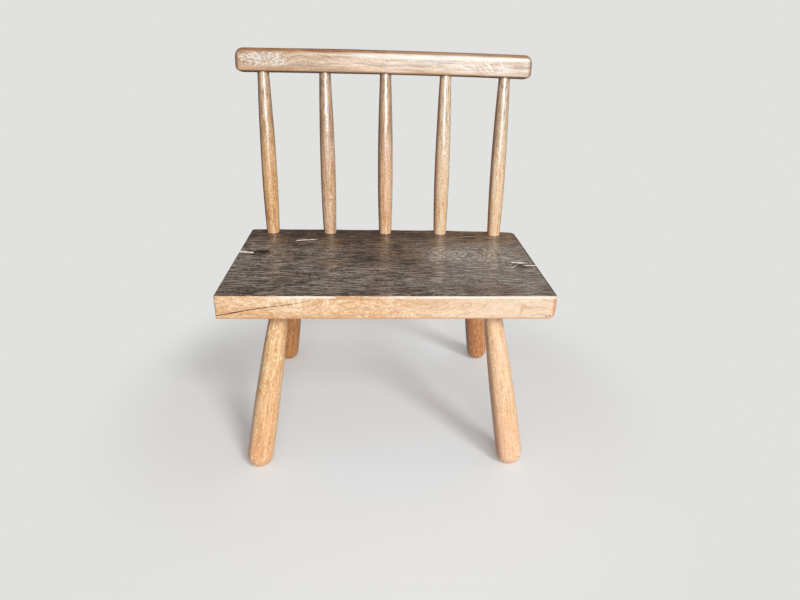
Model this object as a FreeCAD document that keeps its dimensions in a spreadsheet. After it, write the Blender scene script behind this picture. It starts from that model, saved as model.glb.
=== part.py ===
import FreeCAD, Part

import math
import os
from enum import IntEnum
from types import SimpleNamespace

import Sketcher

# A low birthing chair: a thick slab seat on four splayed club legs, which are
# tenoned through the slab and wedged from above, and a raked back of five
# swelling spindles under one crest rail.
# Millimetres, +Z up, +X to the viewer's right, the sitter faces -Y.
# The origin is on the floor, midway between the ends and midway from the
# front feet to the back of the rail.

SIZES = {
    # The seat is one slab, its grain from side to side.
    "seat_width": 611.0,
    "seat_depth": 384.0,
    "seat_thickness": 45.5,
    "seat_height": 353.0,
    "origin_from_front": 195.5,
    # The back edge is straight from its left end, then runs forward.
    "back_edge_straight": 365.0,
    "back_edge_fall": 14.5,
    "front_corner_radius": 4.0,
    "back_left_corner_radius": 6.0,
    "back_right_corner_radius": 12.0,
    "left_end_round": 5.0,
    "right_end_round": 13.0,
    "seat_arris_radius": 2.5,
    # Where the legs come through the seat, in from its ends and long edges, and
    # how far out from there their axes meet the floor
    "front_mortise_inset": 113.5,
    "front_mortise_setback": 67.0,
    "front_foot_splay": 56.0,
    "front_foot_reach": 88.5,
    "rear_mortise_inset": 111.5,
    "rear_mortise_setback": 50.0,
    "rear_foot_splay": 54.0,
    "rear_foot_shift": 2.3,
    "rear_foot_reach": 72.0,
    # The turned outline of a leg, from its sawn top to its domed foot
    "leg_top_radius": 15.8,
    "leg_neck_radius": 16.3,
    "leg_neck_reveal": 1.5,
    "leg_widest_radius": 24.7,
    "leg_widest_height": 50.0,
    "foot_dome_height": 23.0,
    "tenon_spare": 10.0,
    # The wedge in each leg's tenon
    "wedge_depth": 34.0,
    "wedge_thick_end": 5.0,
    "wedge_thin_end": 1.0,
    # The crest rail
    "rail_length": 633.0,
    "rail_height": 48.3,
    "rail_thickness": 36.0,
    "rail_above_seat": 338.0,
    "rail_arch": 2.5,
    "rail_fall": 4.4,
    "rail_top_corner_radius": 16.0,
    "rail_bottom_corner_radius": 11.5,
    "rail_top_arris_radius": 12.0,
    "rail_bottom_arris_radius": 4.0,
    # The outer spindles stand in from the ends of the seat and of the rail.
    # The three between them were spaced by eye, a little to the right.
    "seat_overhang": 51.25,
    "rail_overhang": 56.0,
    "inner_foot_shift": 2.7,
    "inner_head_shift": 1.2,
    # Their feet stand in from the back edge, and they lean back to the rail.
    "spindle_foot_inset": 20.0,
    "back_lean": 47.5,
    "spindle_foot_radius": 14.25,
    "spindle_foot_reveal": 3.0,
    "spindle_belly_radius": 16.7,
    "spindle_belly_height": 120.0,
    "spindle_head_radius": 12.1,
    "spindle_foot_depth": 28.0,
    "spindle_head_depth": 28.0,
    # Shared by all the joints
    "joint_clearance": 0.1,
    "socket_relief": 1.0,
    "cut_overrun": 10.0,
}

LEG_PLACES = ("front_left", "front_right", "rear_left", "rear_right")
SPINDLE_PLACES = ("far_left", "left", "centre", "right", "far_right")

FULL_TURN_DEGREES = 360
SAME_PLACE = 1e-6


class PointIndex(IntEnum):
    """Which point of a sketch's edge a constraint holds."""

    START = 1
    END = 2
    CENTRE = 3


class AxisIndex(IntEnum):
    """The sketch's own axes, as constraints name them."""

    HORIZONTAL = -1
    VERTICAL = -2


class Length:
    """A length or a ratio: its number, and the expression that binds it to the sheet."""

    def __init__(self, value, text):
        self.value = value
        self.text = text

    @staticmethod
    def of(thing):
        if isinstance(thing, Length):
            return thing
        return Length(float(thing), repr(float(thing)))

    def joined(self, sign, other, value):
        return Length(value, f"({self.text} {sign} {Length.of(other).text})")

    def __add__(self, other):
        return self.joined("+", other, self.value + Length.of(other).value)

    def __sub__(self, other):
        return self.joined("-", other, self.value - Length.of(other).value)

    def __mul__(self, other):
        return self.joined("*", other, self.value * Length.of(other).value)

    def __truediv__(self, other):
        return self.joined("/", other, self.value / Length.of(other).value)

    def __neg__(self):
        return Length(-self.value, f"(-{self.text})")


ZERO = Length(0.0, "0")


def distance(*runs):
    """The straight length that has these runs along square axes."""
    squares = ZERO
    for run in runs:
        squares = squares + run * run
    return Length(math.sqrt(squares.value), f"sqrt({squares.text})")


def write_sheet(doc):
    """The spreadsheet of driving sizes, and the same sizes as lengths by name."""
    sheet = doc.addObject("Spreadsheet::Sheet", "sizes")
    for row, (name, value) in enumerate(SIZES.items(), start=1):
        sheet.set(f"A{row}", name)
        sheet.set(f"B{row}", str(value))
        sheet.setAlias(f"B{row}", name)
    doc.recompute()
    return SimpleNamespace(**{name: Length(float(sheet.get(name)), f"sizes.{name}") for name in SIZES})


def bind(thing, **values):
    """Set properties of an object by expression, given as lengths or as text."""
    for name, value in values.items():
        thing.setExpression(name, getattr(value, "text", value))


def placed(x, y, z, rotation="rotation(0; 0; 0)"):
    """The expression of a placement at a point."""
    return f"placement(vector({x.text}; {y.text}; {z.text}); {rotation})"


def leaning(start, run, along=ZERO):
    """The placement whose z axis follows run, with its origin a length along it from start."""
    share = along / distance(*run)
    origin = [point + step * share for point, step in zip(start, run)]
    run_x, run_y, rise = run
    axis = f"vector({(-run_y).text}; {run_x.text}; 0)"
    angle = f"atan2({distance(run_x, run_y).text}; {rise.text})"
    return placed(*origin, f"rotation({axis}; {angle})")


def new_body(doc, label, placement):
    body = doc.addObject("PartDesign::Body", label)
    body.Label = label
    bind(body, Placement=placement)
    return body


def new_sketch(body, label, role):
    """A sketch on one of the body's own origin planes."""
    sketch = body.newObject("Sketcher::SketchObject", label)
    plane = next(feature for feature in body.Origin.OriginFeatures if feature.Role == role)
    sketch.AttachmentSupport = [(plane, "")]
    sketch.MapMode = "FlatFace"
    return sketch


def constrain(sketch, kind, *where, length=None):
    """Add a constraint, and bind its value when it has a length."""
    if length is None:
        sketch.addConstraint(Sketcher.Constraint(kind, *where))
        return
    index = sketch.addConstraint(Sketcher.Constraint(kind, *where, length.value))
    bind(sketch, **{f"Constraints[{index}]": length})


def arc_between(first, second, fixed_axis, fixed):
    """The smaller arc from first to second whose centre has one coordinate given."""
    free = 1 - fixed_axis
    rise = (second[fixed_axis] - fixed) ** 2 - (first[fixed_axis] - fixed) ** 2
    centre = [0.0, 0.0]
    centre[fixed_axis] = fixed
    centre[free] = (second[free] ** 2 - first[free] ** 2 + rise) / (2 * (second[free] - first[free]))
    angles = [math.atan2(point[1] - centre[1], point[0] - centre[0]) for point in (first, second)]
    sweep = (angles[1] - angles[0]) % math.tau
    forwards = sweep < math.pi
    start, turn = (angles[0], sweep) if forwards else (angles[1], math.tau - sweep)
    radius = math.dist(centre, first)
    circle = Part.Circle(FreeCAD.Vector(*centre, 0), FreeCAD.Vector(0, 0, 1), radius)
    return Part.ArcOfCircle(circle, start, start + turn), forwards


def draw_outline(sketch, corners):
    """Draw a closed outline through corners (x, y) or (x, y, axis, centre).

    The last two make the edge that leaves the corner an arc, whose centre has
    that x or y; otherwise the edge is a line.
    """
    ends = []
    points = [(corner[0].value, corner[1].value) for corner in corners]
    for index, corner in enumerate(corners):
        here, there = points[index], points[(index + 1) % len(points)]
        forwards = True
        if corner[2:]:
            axis, fixed = corner[2:]
            curve, forwards = arc_between(here, there, "xy".index(axis), fixed.value)
        else:
            curve = Part.LineSegment(FreeCAD.Vector(*here, 0), FreeCAD.Vector(*there, 0))
        edge = sketch.addGeometry(curve, False)
        order = (PointIndex.START, PointIndex.END) if forwards else (PointIndex.END, PointIndex.START)
        ends.append([(edge, point.value) for point in order])
    for index, corner in enumerate(corners):
        here = ends[index][0]
        constrain(sketch, "Coincident", *ends[index - 1][1], *here)
        place_point(sketch, here, "x", corner[0])
        place_point(sketch, here, "y", corner[1])
        if corner[2:]:
            place_point(sketch, (here[0], PointIndex.CENTRE.value), *corner[2:])


def place_point(sketch, point, axis, length):
    """Fix one coordinate of a sketch point."""
    if length is ZERO:
        on = AxisIndex.VERTICAL if axis == "x" else AxisIndex.HORIZONTAL
        constrain(sketch, "PointOnObject", *point, on.value)
        return
    origin = (AxisIndex.HORIZONTAL.value, PointIndex.START.value)
    constrain(sketch, f"Distance{axis.upper()}", *origin, *point, length=length)


def turned(doc, label, placement, corners):
    """A body turned about its own z axis from a profile of (radius, z) corners."""
    body = new_body(doc, label, placement)
    sketch = new_sketch(body, f"{label}_profile", "XZ_Plane")
    draw_outline(sketch, corners)
    revolution = body.newObject("PartDesign::Revolution", f"{label}_revolution")
    revolution.Profile = (sketch, [""])
    revolution.ReferenceAxis = (sketch, ["V_Axis"])
    revolution.Angle = FULL_TURN_DEGREES
    return body


def padded(doc, label, placement, plane, corners, length, **options):
    """A body made by padding one outline."""
    body = new_body(doc, label, placement)
    sketch = new_sketch(body, f"{label}_outline", plane)
    draw_outline(sketch, corners)
    pad = body.newObject("PartDesign::Pad", f"{label}_pad")
    pad.Profile = (sketch, [""])
    bind(pad, Length=length)
    for name, value in options.items():
        setattr(pad, name, value)
    doc.recompute()
    return body


def rounded(body, label, radius, chosen):
    """Fillet the edges of the body's last feature that chosen(midpoint, tangent) accepts."""
    last = body.Tip
    names = []
    for index, edge in enumerate(last.Shape.Edges, start=1):
        middle = (edge.FirstParameter + edge.LastParameter) / 2
        if chosen(edge.valueAt(middle), edge.tangentAt(middle)):
            names.append(f"Edge{index}")
    fillet = body.newObject("PartDesign::Fillet", label)
    fillet.Base = (last, names)
    bind(fillet, Radius=radius)
    body.Document.recompute()
    return fillet


def bored(doc, label, blank, borers):
    """The blank with every borer cut out of it."""
    tools = doc.addObject("Part::Compound", f"{label}_borers")
    tools.Links = borers
    cut = doc.addObject("Part::Cut", label)
    cut.Label = label
    cut.Base = blank
    cut.Tool = tools
    return cut


def leg_axis(size, place):
    """The mortise's centre on top of the seat, and the run from the foot up to it."""
    row, side = place.split("_")
    if row == "front":
        from_front = size.front_mortise_setback
        forward = size.front_foot_reach
        shift = ZERO
    else:
        from_front = size.seat_depth - size.rear_mortise_setback
        forward = -size.rear_foot_reach
        shift = size.rear_foot_shift
    outward = -1 if side == "left" else 1
    top_x = (size.seat_width / 2 - getattr(size, f"{row}_mortise_inset")) * outward
    splay = getattr(size, f"{row}_foot_splay") * outward + shift
    top = (top_x, from_front - size.origin_from_front, size.seat_height)
    return top, (-splay, forward, size.seat_height)


def neck_depth(size, run):
    """How far down a leg's axis its tenon reaches: out of the seat all the way round."""
    slope = distance(*run) / size.seat_height
    lean = distance(*run[:2]) / size.seat_height
    return size.seat_thickness * slope + size.leg_neck_radius * lean + size.leg_neck_reveal


def turned_leg(doc, size, label, top, run):
    """A club leg: a tapered tenon, a swelling shaft and a domed foot."""
    slope = distance(*run) / size.seat_height
    neck = -neck_depth(size, run)
    widest = -(size.seat_height - size.leg_widest_height) * slope
    dome = -(size.seat_height - size.foot_dome_height) * slope
    return turned(doc, label, leaning(top, run), [
        (ZERO, size.tenon_spare),
        (size.leg_top_radius, size.tenon_spare),
        (size.leg_neck_radius, neck, "y", widest),
        (size.leg_widest_radius, widest),
        (size.leg_widest_radius, dome, "y", dome),
        (ZERO, dome - size.leg_widest_radius),
    ])


def leg_borer(doc, size, label, top, run):
    """What a leg's mortise takes out of the seat: its tenon, a clearance larger."""
    depth = neck_depth(size, run)
    borer = doc.addObject("Part::Cone", label)
    bind(
        borer,
        Radius1=size.leg_neck_radius + size.joint_clearance,
        Radius2=size.leg_top_radius + size.joint_clearance,
        Height=depth + size.tenon_spare,
        Placement=leaning(top, run, -depth),
    )
    return borer


def wedge_blank(doc, size, label, top, run):
    """A wedge before it is trimmed, from side to side of the tenon and tapering downwards."""
    thick, thin = size.wedge_thick_end / 2, size.wedge_thin_end / 2
    outline = [
        (-thin, -size.wedge_depth),
        (thin, -size.wedge_depth),
        (thick, size.tenon_spare),
        (-thick, size.tenon_spare),
    ]
    width = size.leg_neck_radius * 2 + size.cut_overrun
    return padded(doc, label, leaning(top, run), "YZ_Plane", outline, width, SideType="Symmetric")


def level_space(doc, size):
    """The space from the floor to the seat's top, to which legs and wedges are trimmed."""
    box = doc.addObject("Part::Box", "level_space")
    width = size.seat_width + size.leg_widest_radius * 4
    depth = size.seat_depth + (size.front_foot_reach + size.rear_foot_reach) * 2
    bind(
        box,
        Length=width,
        Width=depth,
        Height=size.seat_height,
        Placement=placed(-width / 2, -depth / 2, ZERO),
    )
    return box


def make_leg(doc, size, place, level):
    """One leg and its wedge, trimmed level at the seat's top and at the floor."""
    top, run = leg_axis(size, place)
    blank = turned_leg(doc, size, f"leg_{place}_turned", top, run)
    wedge = wedge_blank(doc, size, f"wedge_{place}_blank", top, run)
    trimmed = doc.addObject("Part::Common", f"leg_{place}_trimmed")
    trimmed.Base = blank
    trimmed.Tool = level
    leg = doc.addObject("Part::Cut", f"leg_{place}")
    leg.Base = trimmed
    leg.Tool = wedge
    driven = doc.addObject("Part::Common", f"wedge_{place}")
    driven.Base = trimmed
    driven.Tool = wedge
    return [leg, driven], leg_borer(doc, size, f"mortise_{place}", top, run)


def seat_blank(doc, size):
    """The slab: its back edge runs forward to the right, and its right end is rolled under."""
    half = size.seat_width / 2
    front = -size.origin_from_front
    back = front + size.seat_depth
    bend = size.back_edge_straight - half
    outline = [
        (-half, front),
        (half, front),
        (half, back - size.back_edge_fall, "x", bend),
        (bend, back),
        (-half, back),
    ]
    stand = placed(ZERO, ZERO, size.seat_height)
    body = padded(doc, "seat_blank", stand, "XY_Plane", outline, size.seat_thickness, Reversed=True)
    end = half.value
    middle = (front.value + back.value) / 2

    def upright(tangent):
        return abs(tangent.z) > 0.9

    rounded(body, "front_corners", size.front_corner_radius, lambda p, t: upright(t) and p.y < middle)
    rounded(
        body, "back_left_corner", size.back_left_corner_radius,
        lambda p, t: upright(t) and p.y > middle and p.x < -end / 2,
    )
    rounded(
        body, "back_right_corner", size.back_right_corner_radius,
        lambda p, t: upright(t) and p.y > middle and p.x > end / 2,
    )
    rounded(body, "top_arris", size.seat_arris_radius, lambda p, t: abs(p.z) < SAME_PLACE)
    sketch = new_sketch(body, "rolled_ends_outline", "XZ_Plane")
    draw_outline(sketch, waste_corner(size, half, size.right_end_round, 1))
    draw_outline(sketch, waste_corner(size, half, size.left_end_round, -1))
    pocket = body.newObject("PartDesign::Pocket", "rolled_ends")
    pocket.Profile = (sketch, [""])
    pocket.SideType = "Symmetric"
    bind(pocket, Length=size.seat_depth * 2 + size.cut_overrun)
    doc.recompute()
    return body


def waste_corner(size, half, radius, side):
    """What rounding the slab's lower corner at one end takes off, seen from the front."""
    inner = (half - radius) * side
    end = half * side
    past_end = (half + size.cut_overrun) * side
    under = -size.seat_thickness
    below = under - size.cut_overrun
    return [
        (inner, under, "x", inner),
        (end, under + radius),
        (past_end, under + radius),
        (past_end, below),
        (inner, below),
    ]


def rail_blank(doc, size):
    """The crest rail before its sockets, a slightly arched bar with rounded ends."""
    half = size.rail_length / 2
    outline = [
        (-half, ZERO, "x", ZERO),
        (ZERO, size.rail_arch, "x", ZERO),
        (half, ZERO),
        (half, size.rail_height, "x", ZERO),
        (ZERO, size.rail_height + size.rail_arch, "x", ZERO),
        (-half, size.rail_height),
    ]
    rake = f"atan2({size.back_lean.text}; {size.rail_above_seat.text})"
    fall = f"atan2({size.rail_fall.text}; {size.rail_length.text})"
    height = size.seat_height + size.rail_above_seat
    stand = placed(ZERO, rail_line(size), height, f"rotation(0; {fall}; -{rake})")
    body = padded(
        doc, "crest_rail_blank", stand, "XZ_Plane", outline, size.rail_thickness, SideType="Symmetric"
    )
    split = size.rail_height.value / 2
    end = half.value / 2

    def across(tangent):
        return abs(tangent.y) > 0.9

    rounded(
        body, "rail_top_corners", size.rail_top_corner_radius,
        lambda p, t: across(t) and p.z > split and abs(p.x) > end,
    )
    rounded(
        body, "rail_bottom_corners", size.rail_bottom_corner_radius,
        lambda p, t: across(t) and p.z < split and abs(p.x) > end,
    )
    return body


def back_line(size):
    """How far back the spindles' feet stand, along the straight of the back edge."""
    return size.seat_depth - size.spindle_foot_inset - size.origin_from_front


def back_edge_forward(size, x):
    """How far the back edge has run forward at x."""
    half = size.seat_width / 2
    bend = size.back_edge_straight - half
    way = (x - bend) / (half - bend)
    way = Length(max(way.value, 0.0), f"max({way.text}; 0)")
    return size.back_edge_fall * way * way


def rail_line(size):
    """How far back the middle of the rail's underside lies."""
    return back_line(size) + size.back_lean


def spindle_station(place, outermost, inner_shift):
    """How far right of the middle a spindle stands."""
    middle = len(SPINDLE_PLACES) // 2
    step = SPINDLE_PLACES.index(place) - middle
    station = outermost * (step / middle)
    return station + inner_shift if abs(step) < middle else station


def spindle_axis(size, place):
    """A spindle's foot on the seat's top, and its run from there to the rail's underside."""
    foot_x = spindle_station(place, size.seat_width / 2 - size.seat_overhang, size.inner_foot_shift)
    head_x = spindle_station(place, size.rail_length / 2 - size.rail_overhang, size.inner_head_shift)
    set_in = back_edge_forward(size, foot_x)
    foot = (foot_x, back_line(size) - set_in, size.seat_height)
    way_out = head_x / (size.rail_length / 2)
    arch = size.rail_arch * (-(way_out * way_out) + 1)
    fall = size.rail_fall * (head_x / size.rail_length)
    run = (head_x - foot_x, size.back_lean + set_in, size.rail_above_seat + arch - fall)
    return foot, run


def make_spindle(doc, size, place):
    """One turned spindle: round tenons, a swelling low down and a slimmer head."""
    foot, run = spindle_axis(size, place)
    length = distance(*run)
    return turned(doc, f"spindle_{place}", leaning(foot, run), [
        (ZERO, -size.spindle_foot_depth),
        (size.spindle_foot_radius, -size.spindle_foot_depth),
        (size.spindle_foot_radius, size.spindle_foot_reveal, "y", size.spindle_belly_height),
        (size.spindle_belly_radius, size.spindle_belly_height, "y", size.spindle_belly_height),
        (size.spindle_head_radius, length),
        (size.spindle_head_radius, length + size.spindle_head_depth),
        (ZERO, length + size.spindle_head_depth),
    ])


def spindle_borers(doc, size, place):
    """The blind sockets of one spindle, in the seat and in the rail."""
    foot, run = spindle_axis(size, place)
    seat_socket = doc.addObject("Part::Cylinder", f"seat_socket_{place}")
    bind(
        seat_socket,
        Radius=size.spindle_foot_radius + size.joint_clearance,
        Height=size.spindle_foot_depth + size.socket_relief + size.cut_overrun,
        Placement=leaning(foot, run, -(size.spindle_foot_depth + size.socket_relief)),
    )
    rail_socket = doc.addObject("Part::Cylinder", f"rail_socket_{place}")
    bind(
        rail_socket,
        Radius=size.spindle_head_radius + size.joint_clearance,
        Height=size.spindle_head_depth + size.socket_relief + size.cut_overrun,
        Placement=leaning(foot, run, distance(*run) - size.cut_overrun),
    )
    return seat_socket, rail_socket


def round_rail_arrises(doc, size, blank):
    """Round the rail's long edges, fuller along the top than along the bottom."""
    top, bottom = size.rail_top_arris_radius.value, size.rail_bottom_arris_radius.value
    turned_back = blank.Placement.inverse()
    split = size.rail_height.value / 2
    half = size.rail_length.value / 2
    edges = []
    for index, edge in enumerate(blank.Shape.Edges, start=1):
        middle = (edge.FirstParameter + edge.LastParameter) / 2
        point = turned_back.multVec(edge.valueAt(middle))
        along = turned_back.Rotation.multVec(edge.tangentAt(middle))
        if abs(along.y) > 0.9:
            continue
        first = turned_back.multVec(edge.Vertexes[0].Point)
        last = turned_back.multVec(edge.Vertexes[-1].Point)
        if abs(abs(point.x) - half) < SAME_PLACE:
            radii = [top if end.z > split else bottom for end in (first, last)]
        else:
            radii = [top, top] if point.z > split else [bottom, bottom]
        edges.append((index, *radii))
    fillet = doc.addObject("Part::Fillet", "crest_rail_rounded")
    fillet.Base = blank
    fillet.Edges = edges
    return fillet


def check(doc, nodes):
    """Stop if anything in the document failed, or a piece has no good shape."""
    for thing in doc.Objects:
        if {"Invalid", "Error"} & set(thing.State):
            raise RuntimeError(f"{thing.Label} failed: {thing.State}")
    for node in nodes:
        shape = node.Shape
        if shape.isNull() or not shape.isValid() or len(shape.Solids) != 1:
            raise RuntimeError(f"{node.Label} has no good shape")


def main():
    doc = FreeCAD.newDocument("birthing_chair")
    size = write_sheet(doc)
    level = level_space(doc, size)
    nodes = []
    seat_cuts = []
    rail_cuts = []
    for place in LEG_PLACES:
        pieces, mortise = make_leg(doc, size, place, level)
        nodes += pieces
        seat_cuts.append(mortise)
    for place in SPINDLE_PLACES:
        nodes.append(make_spindle(doc, size, place))
        seat_socket, rail_socket = spindle_borers(doc, size, place)
        seat_cuts.append(seat_socket)
        rail_cuts.append(rail_socket)
    nodes.append(bored(doc, "seat", seat_blank(doc, size), seat_cuts))
    rail = round_rail_arrises(doc, size, rail_blank(doc, size))
    nodes.append(bored(doc, "crest_rail", rail, rail_cuts))
    doc.recompute()
    check(doc, nodes)
    os.makedirs("parts", exist_ok=True)
    for node in nodes:
        node.Shape.exportStep(f"parts/{node.Label}.step")


if __name__ == "__main__":
    main()
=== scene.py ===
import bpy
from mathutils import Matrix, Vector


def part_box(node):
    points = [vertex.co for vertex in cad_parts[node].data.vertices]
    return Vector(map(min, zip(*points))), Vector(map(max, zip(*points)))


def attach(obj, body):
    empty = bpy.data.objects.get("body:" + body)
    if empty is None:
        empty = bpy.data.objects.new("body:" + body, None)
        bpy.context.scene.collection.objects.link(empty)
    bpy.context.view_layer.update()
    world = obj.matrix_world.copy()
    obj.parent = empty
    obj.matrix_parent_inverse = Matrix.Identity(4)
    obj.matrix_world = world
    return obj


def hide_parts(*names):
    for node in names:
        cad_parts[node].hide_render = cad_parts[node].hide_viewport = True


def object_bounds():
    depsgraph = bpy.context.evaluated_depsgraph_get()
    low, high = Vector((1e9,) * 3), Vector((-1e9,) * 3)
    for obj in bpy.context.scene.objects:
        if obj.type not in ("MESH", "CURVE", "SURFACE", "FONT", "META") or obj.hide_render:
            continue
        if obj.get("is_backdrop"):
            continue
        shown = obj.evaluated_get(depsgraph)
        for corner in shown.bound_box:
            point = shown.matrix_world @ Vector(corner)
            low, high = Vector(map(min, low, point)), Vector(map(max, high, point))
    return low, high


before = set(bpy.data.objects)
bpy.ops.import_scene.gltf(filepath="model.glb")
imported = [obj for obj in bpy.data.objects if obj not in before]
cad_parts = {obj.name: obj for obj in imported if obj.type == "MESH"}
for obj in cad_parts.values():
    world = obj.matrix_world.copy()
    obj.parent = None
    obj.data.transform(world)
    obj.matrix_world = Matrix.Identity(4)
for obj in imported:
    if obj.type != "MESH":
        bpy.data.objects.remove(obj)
solid_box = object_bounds()

import inspect
import math
import random
from contextlib import contextmanager

import bmesh
import bpy
from bpy.props import FloatProperty, FloatVectorProperty, IntProperty, PointerProperty
from bpy.types import Operator, Panel, PropertyGroup
from mathutils import Matrix, Vector

# A low birthing chair: a thick slab seat with end checks and a knot hole, four
# splayed club legs whose wedged tenons show in the seat's top, and a raked
# back of five shaved spindles under a crest rail. The wood is limed and waxed.
# Metres, +Z up, +X to the viewer's right, the sitter faces -Y.

bl_info = {
    "name": "African Birthing Chair",
    "version": (1, 0, 0),
    "blender": (4, 5, 0),
    "location": "View3D > Sidebar > Birthing Chair",
    "description": "Models and finishes a low wooden birthing chair around its solids",
    "category": "Add Mesh",
}

MM = 0.001

SEAT_LOW, SEAT_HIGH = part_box("seat")
SEAT_TOP = SEAT_HIGH.z
SEAT_UNDER = SEAT_LOW.z
FRONT = SEAT_LOW.y

# Where each leg's axis meets the seat's top and the floor
LEG_TOPS = {
    "front_left": (-0.192, -0.1285),
    "front_right": (0.192, -0.1285),
    "rear_left": (-0.194, 0.1385),
    "rear_right": (0.194, 0.1385),
}
LEG_FEET = {
    "front_left": (-0.248, -0.217),
    "front_right": (0.248, -0.217),
    "rear_left": (-0.2457, 0.2105),
    "rear_right": (0.2503, 0.2105),
}

# Where each spindle stands on the seat, and where it meets the rail
SPINDLE_FEET = {
    "far_left": (-0.25425, 0.1685),
    "left": (-0.12443, 0.1685),
    "centre": (0.0027, 0.1685),
    "right": (0.12983, 0.16735),
    "far_right": (0.25425, 0.15941),
}
SPINDLE_HEADS = {
    "far_left": (-0.2605, 0.69362),
    "left": (-0.12905, 0.69398),
    "centre": (0.0012, 0.69349),
    "right": (0.13145, 0.69216),
    "far_right": (0.2605, 0.69000),
}
RAIL_Y = 0.216
RAIL_Z = 0.691
RAIL_RAKE = math.atan2(47.5, 338.0)
RAIL_FALL = math.atan2(4.4, 633.0)
RAIL_LENGTH = 0.633
RAIL_HEIGHT = 0.0483
RAIL_THICKNESS = 0.036
RAIL_ARCH = 0.0025
RAIL_UPPER_ROUND = 0.016
RAIL_LOWER_ROUND = 0.0115
RAIL_END_ARRIS = 0.0074

# A leg's radius at the seat's top, halfway down its tenon, at its neck, and where
# it is thickest; where its neck is along it; and how far it swells below that
TENON_RADIUS = 0.0158
TENON_MIDDLE_RADIUS = 0.01605
NECK_RADIUS = 0.0163
NECK = -0.0555
CLUB_RADIUS = 0.0247
CLUB_SWELL = 0.0084
# How much longer the blank is than the seat is high
LEG_SLOPE = 1.038
# A spindle's radius at its foot, belly and head, how far it swells from foot to
# belly and tapers from belly to head, and the blank's length from seat to rail
SPINDLE_FOOT_RADIUS = 0.01425
SPINDLE_RADIUS = 0.0167
SPINDLE_HEAD_RADIUS = 0.0121
SPINDLE_SWELL = 0.00245
SPINDLE_TAPER = 0.0046
SPINDLE_LENGTH = 0.342


def tint(red, green, blue):
    """A colour given as it looks, from 0 to 255, as the numbers that a shader takes."""

    def straight(part):
        share = part / 255
        return share / 12.92 if share <= 0.04045 else ((share + 0.055) / 1.055) ** 2.4

    return straight(red), straight(green), straight(blue)


def opaque(colour):
    return (*colour, 1.0)


# Selecting and shaping

def deselect():
    bpy.ops.object.select_all(action="DESELECT")


def only(piece):
    """Make the piece the one that operators act on."""
    deselect()
    piece.select_set(True)
    bpy.context.view_layer.objects.active = piece


@contextmanager
def editing(piece, mode="FACE"):
    """Open the piece in edit mode, with nothing selected."""
    only(piece)
    bpy.ops.object.mode_set(mode="EDIT")
    bpy.ops.mesh.select_mode(type=mode)
    bpy.ops.mesh.select_all(action="DESELECT")
    yield
    bpy.ops.object.mode_set(mode="OBJECT")


def pick(piece, kind, chosen):
    """Select the faces, edges or verts that chosen accepts, and nothing else."""
    mesh = bmesh.from_edit_mesh(piece.data)
    for group in (mesh.verts, mesh.edges, mesh.faces):
        for part in group:
            part.select = False
    found = [part for part in getattr(mesh, kind) if chosen(part)]
    for part in found:
        part.select = True
    mesh.select_flush_mode()
    bmesh.update_edit_mesh(piece.data)
    return len(found)


def middle(edge):
    return (edge.verts[0].co + edge.verts[1].co) / 2


def way(edge):
    return (edge.verts[1].co - edge.verts[0].co).normalized()


def apply(piece, modifier):
    only(piece)
    bpy.ops.object.modifier_apply(modifier=modifier.name)


def settle(piece):
    """Write the object's place, turn and scale into its mesh."""
    only(piece)
    bpy.ops.object.transform_apply(location=True, rotation=True, scale=True)


def smooth(piece, angle):
    only(piece)
    bpy.ops.object.shade_smooth_by_angle(angle=math.radians(angle))


def close_up(piece):
    """Merge doubles and point the faces outwards."""
    with editing(piece):
        bpy.ops.mesh.select_all(action="SELECT")
        bpy.ops.mesh.remove_doubles(threshold=0.01 * MM)
        bpy.ops.mesh.normals_make_consistent(inside=False)


def slice_at(piece, point, normal, clear_above=False):
    """Cut a loop where a plane crosses the piece, and cap it if one side goes."""
    with editing(piece):
        bpy.ops.mesh.select_all(action="SELECT")
        bpy.ops.mesh.bisect(
            plane_co=point,
            plane_no=normal,
            clear_outer=clear_above,
            use_fill=clear_above,
            threshold=0.005 * MM,
        )


def boolean(piece, other, operation="DIFFERENCE"):
    """Cut the other object out of the piece, or keep what both share."""
    modifier = piece.modifiers.new("cut", "BOOLEAN")
    modifier.operation = operation
    modifier.solver = "MANIFOLD"
    modifier.material_mode = "TRANSFER"
    modifier.object = other
    apply(piece, modifier)
    bpy.data.objects.remove(other)


def rounded(piece, radius, segments, chosen):
    """Bevel the edges that chosen accepts."""
    with editing(piece, "EDGE"):
        if not pick(piece, "edges", chosen):
            raise RuntimeError(f"{piece.name} has no such edge")
        bpy.ops.mesh.bevel(
            offset=radius, segments=segments, profile=0.5, affect="EDGES", clamp_overlap=False
        )


def added(name):
    """The object that an operator has just added, under this name."""
    piece = bpy.context.object
    piece.name = piece.data.name = name
    return piece


def block(name, low, high):
    """A block from its lowest to its highest corner."""
    deselect()
    low, high = Vector(low), Vector(high)
    bpy.ops.mesh.primitive_cube_add(size=1, location=(low + high) / 2, scale=high - low)
    piece = added(name)
    settle(piece)
    return piece


def slide(piece, along, chosen, shift):
    """Move the chosen verts, one loop along an axis after another, by shift(place)."""
    with editing(piece, "VERT"):
        verts = bmesh.from_edit_mesh(piece.data).verts
        for place in sorted({round(v.co[along], 6) for v in verts if chosen(v.co)}):
            pick(piece, "verts", lambda v: abs(v.co[along] - place) < 1e-6 and chosen(v.co))
            bpy.ops.transform.translate(value=shift(place))


def dress(piece, *materials):
    """Give the whole piece the first of these materials, and hold the rest ready."""
    piece.data.materials.clear()
    for face in piece.data.polygons:
        face.material_index = 0
    for material in materials:
        piece.data.materials.append(material)


def copy_of(piece, name):
    twin = piece.copy()
    twin.data = piece.data.copy()
    twin.name = twin.data.name = name
    bpy.context.scene.collection.objects.link(twin)
    return twin


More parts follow.
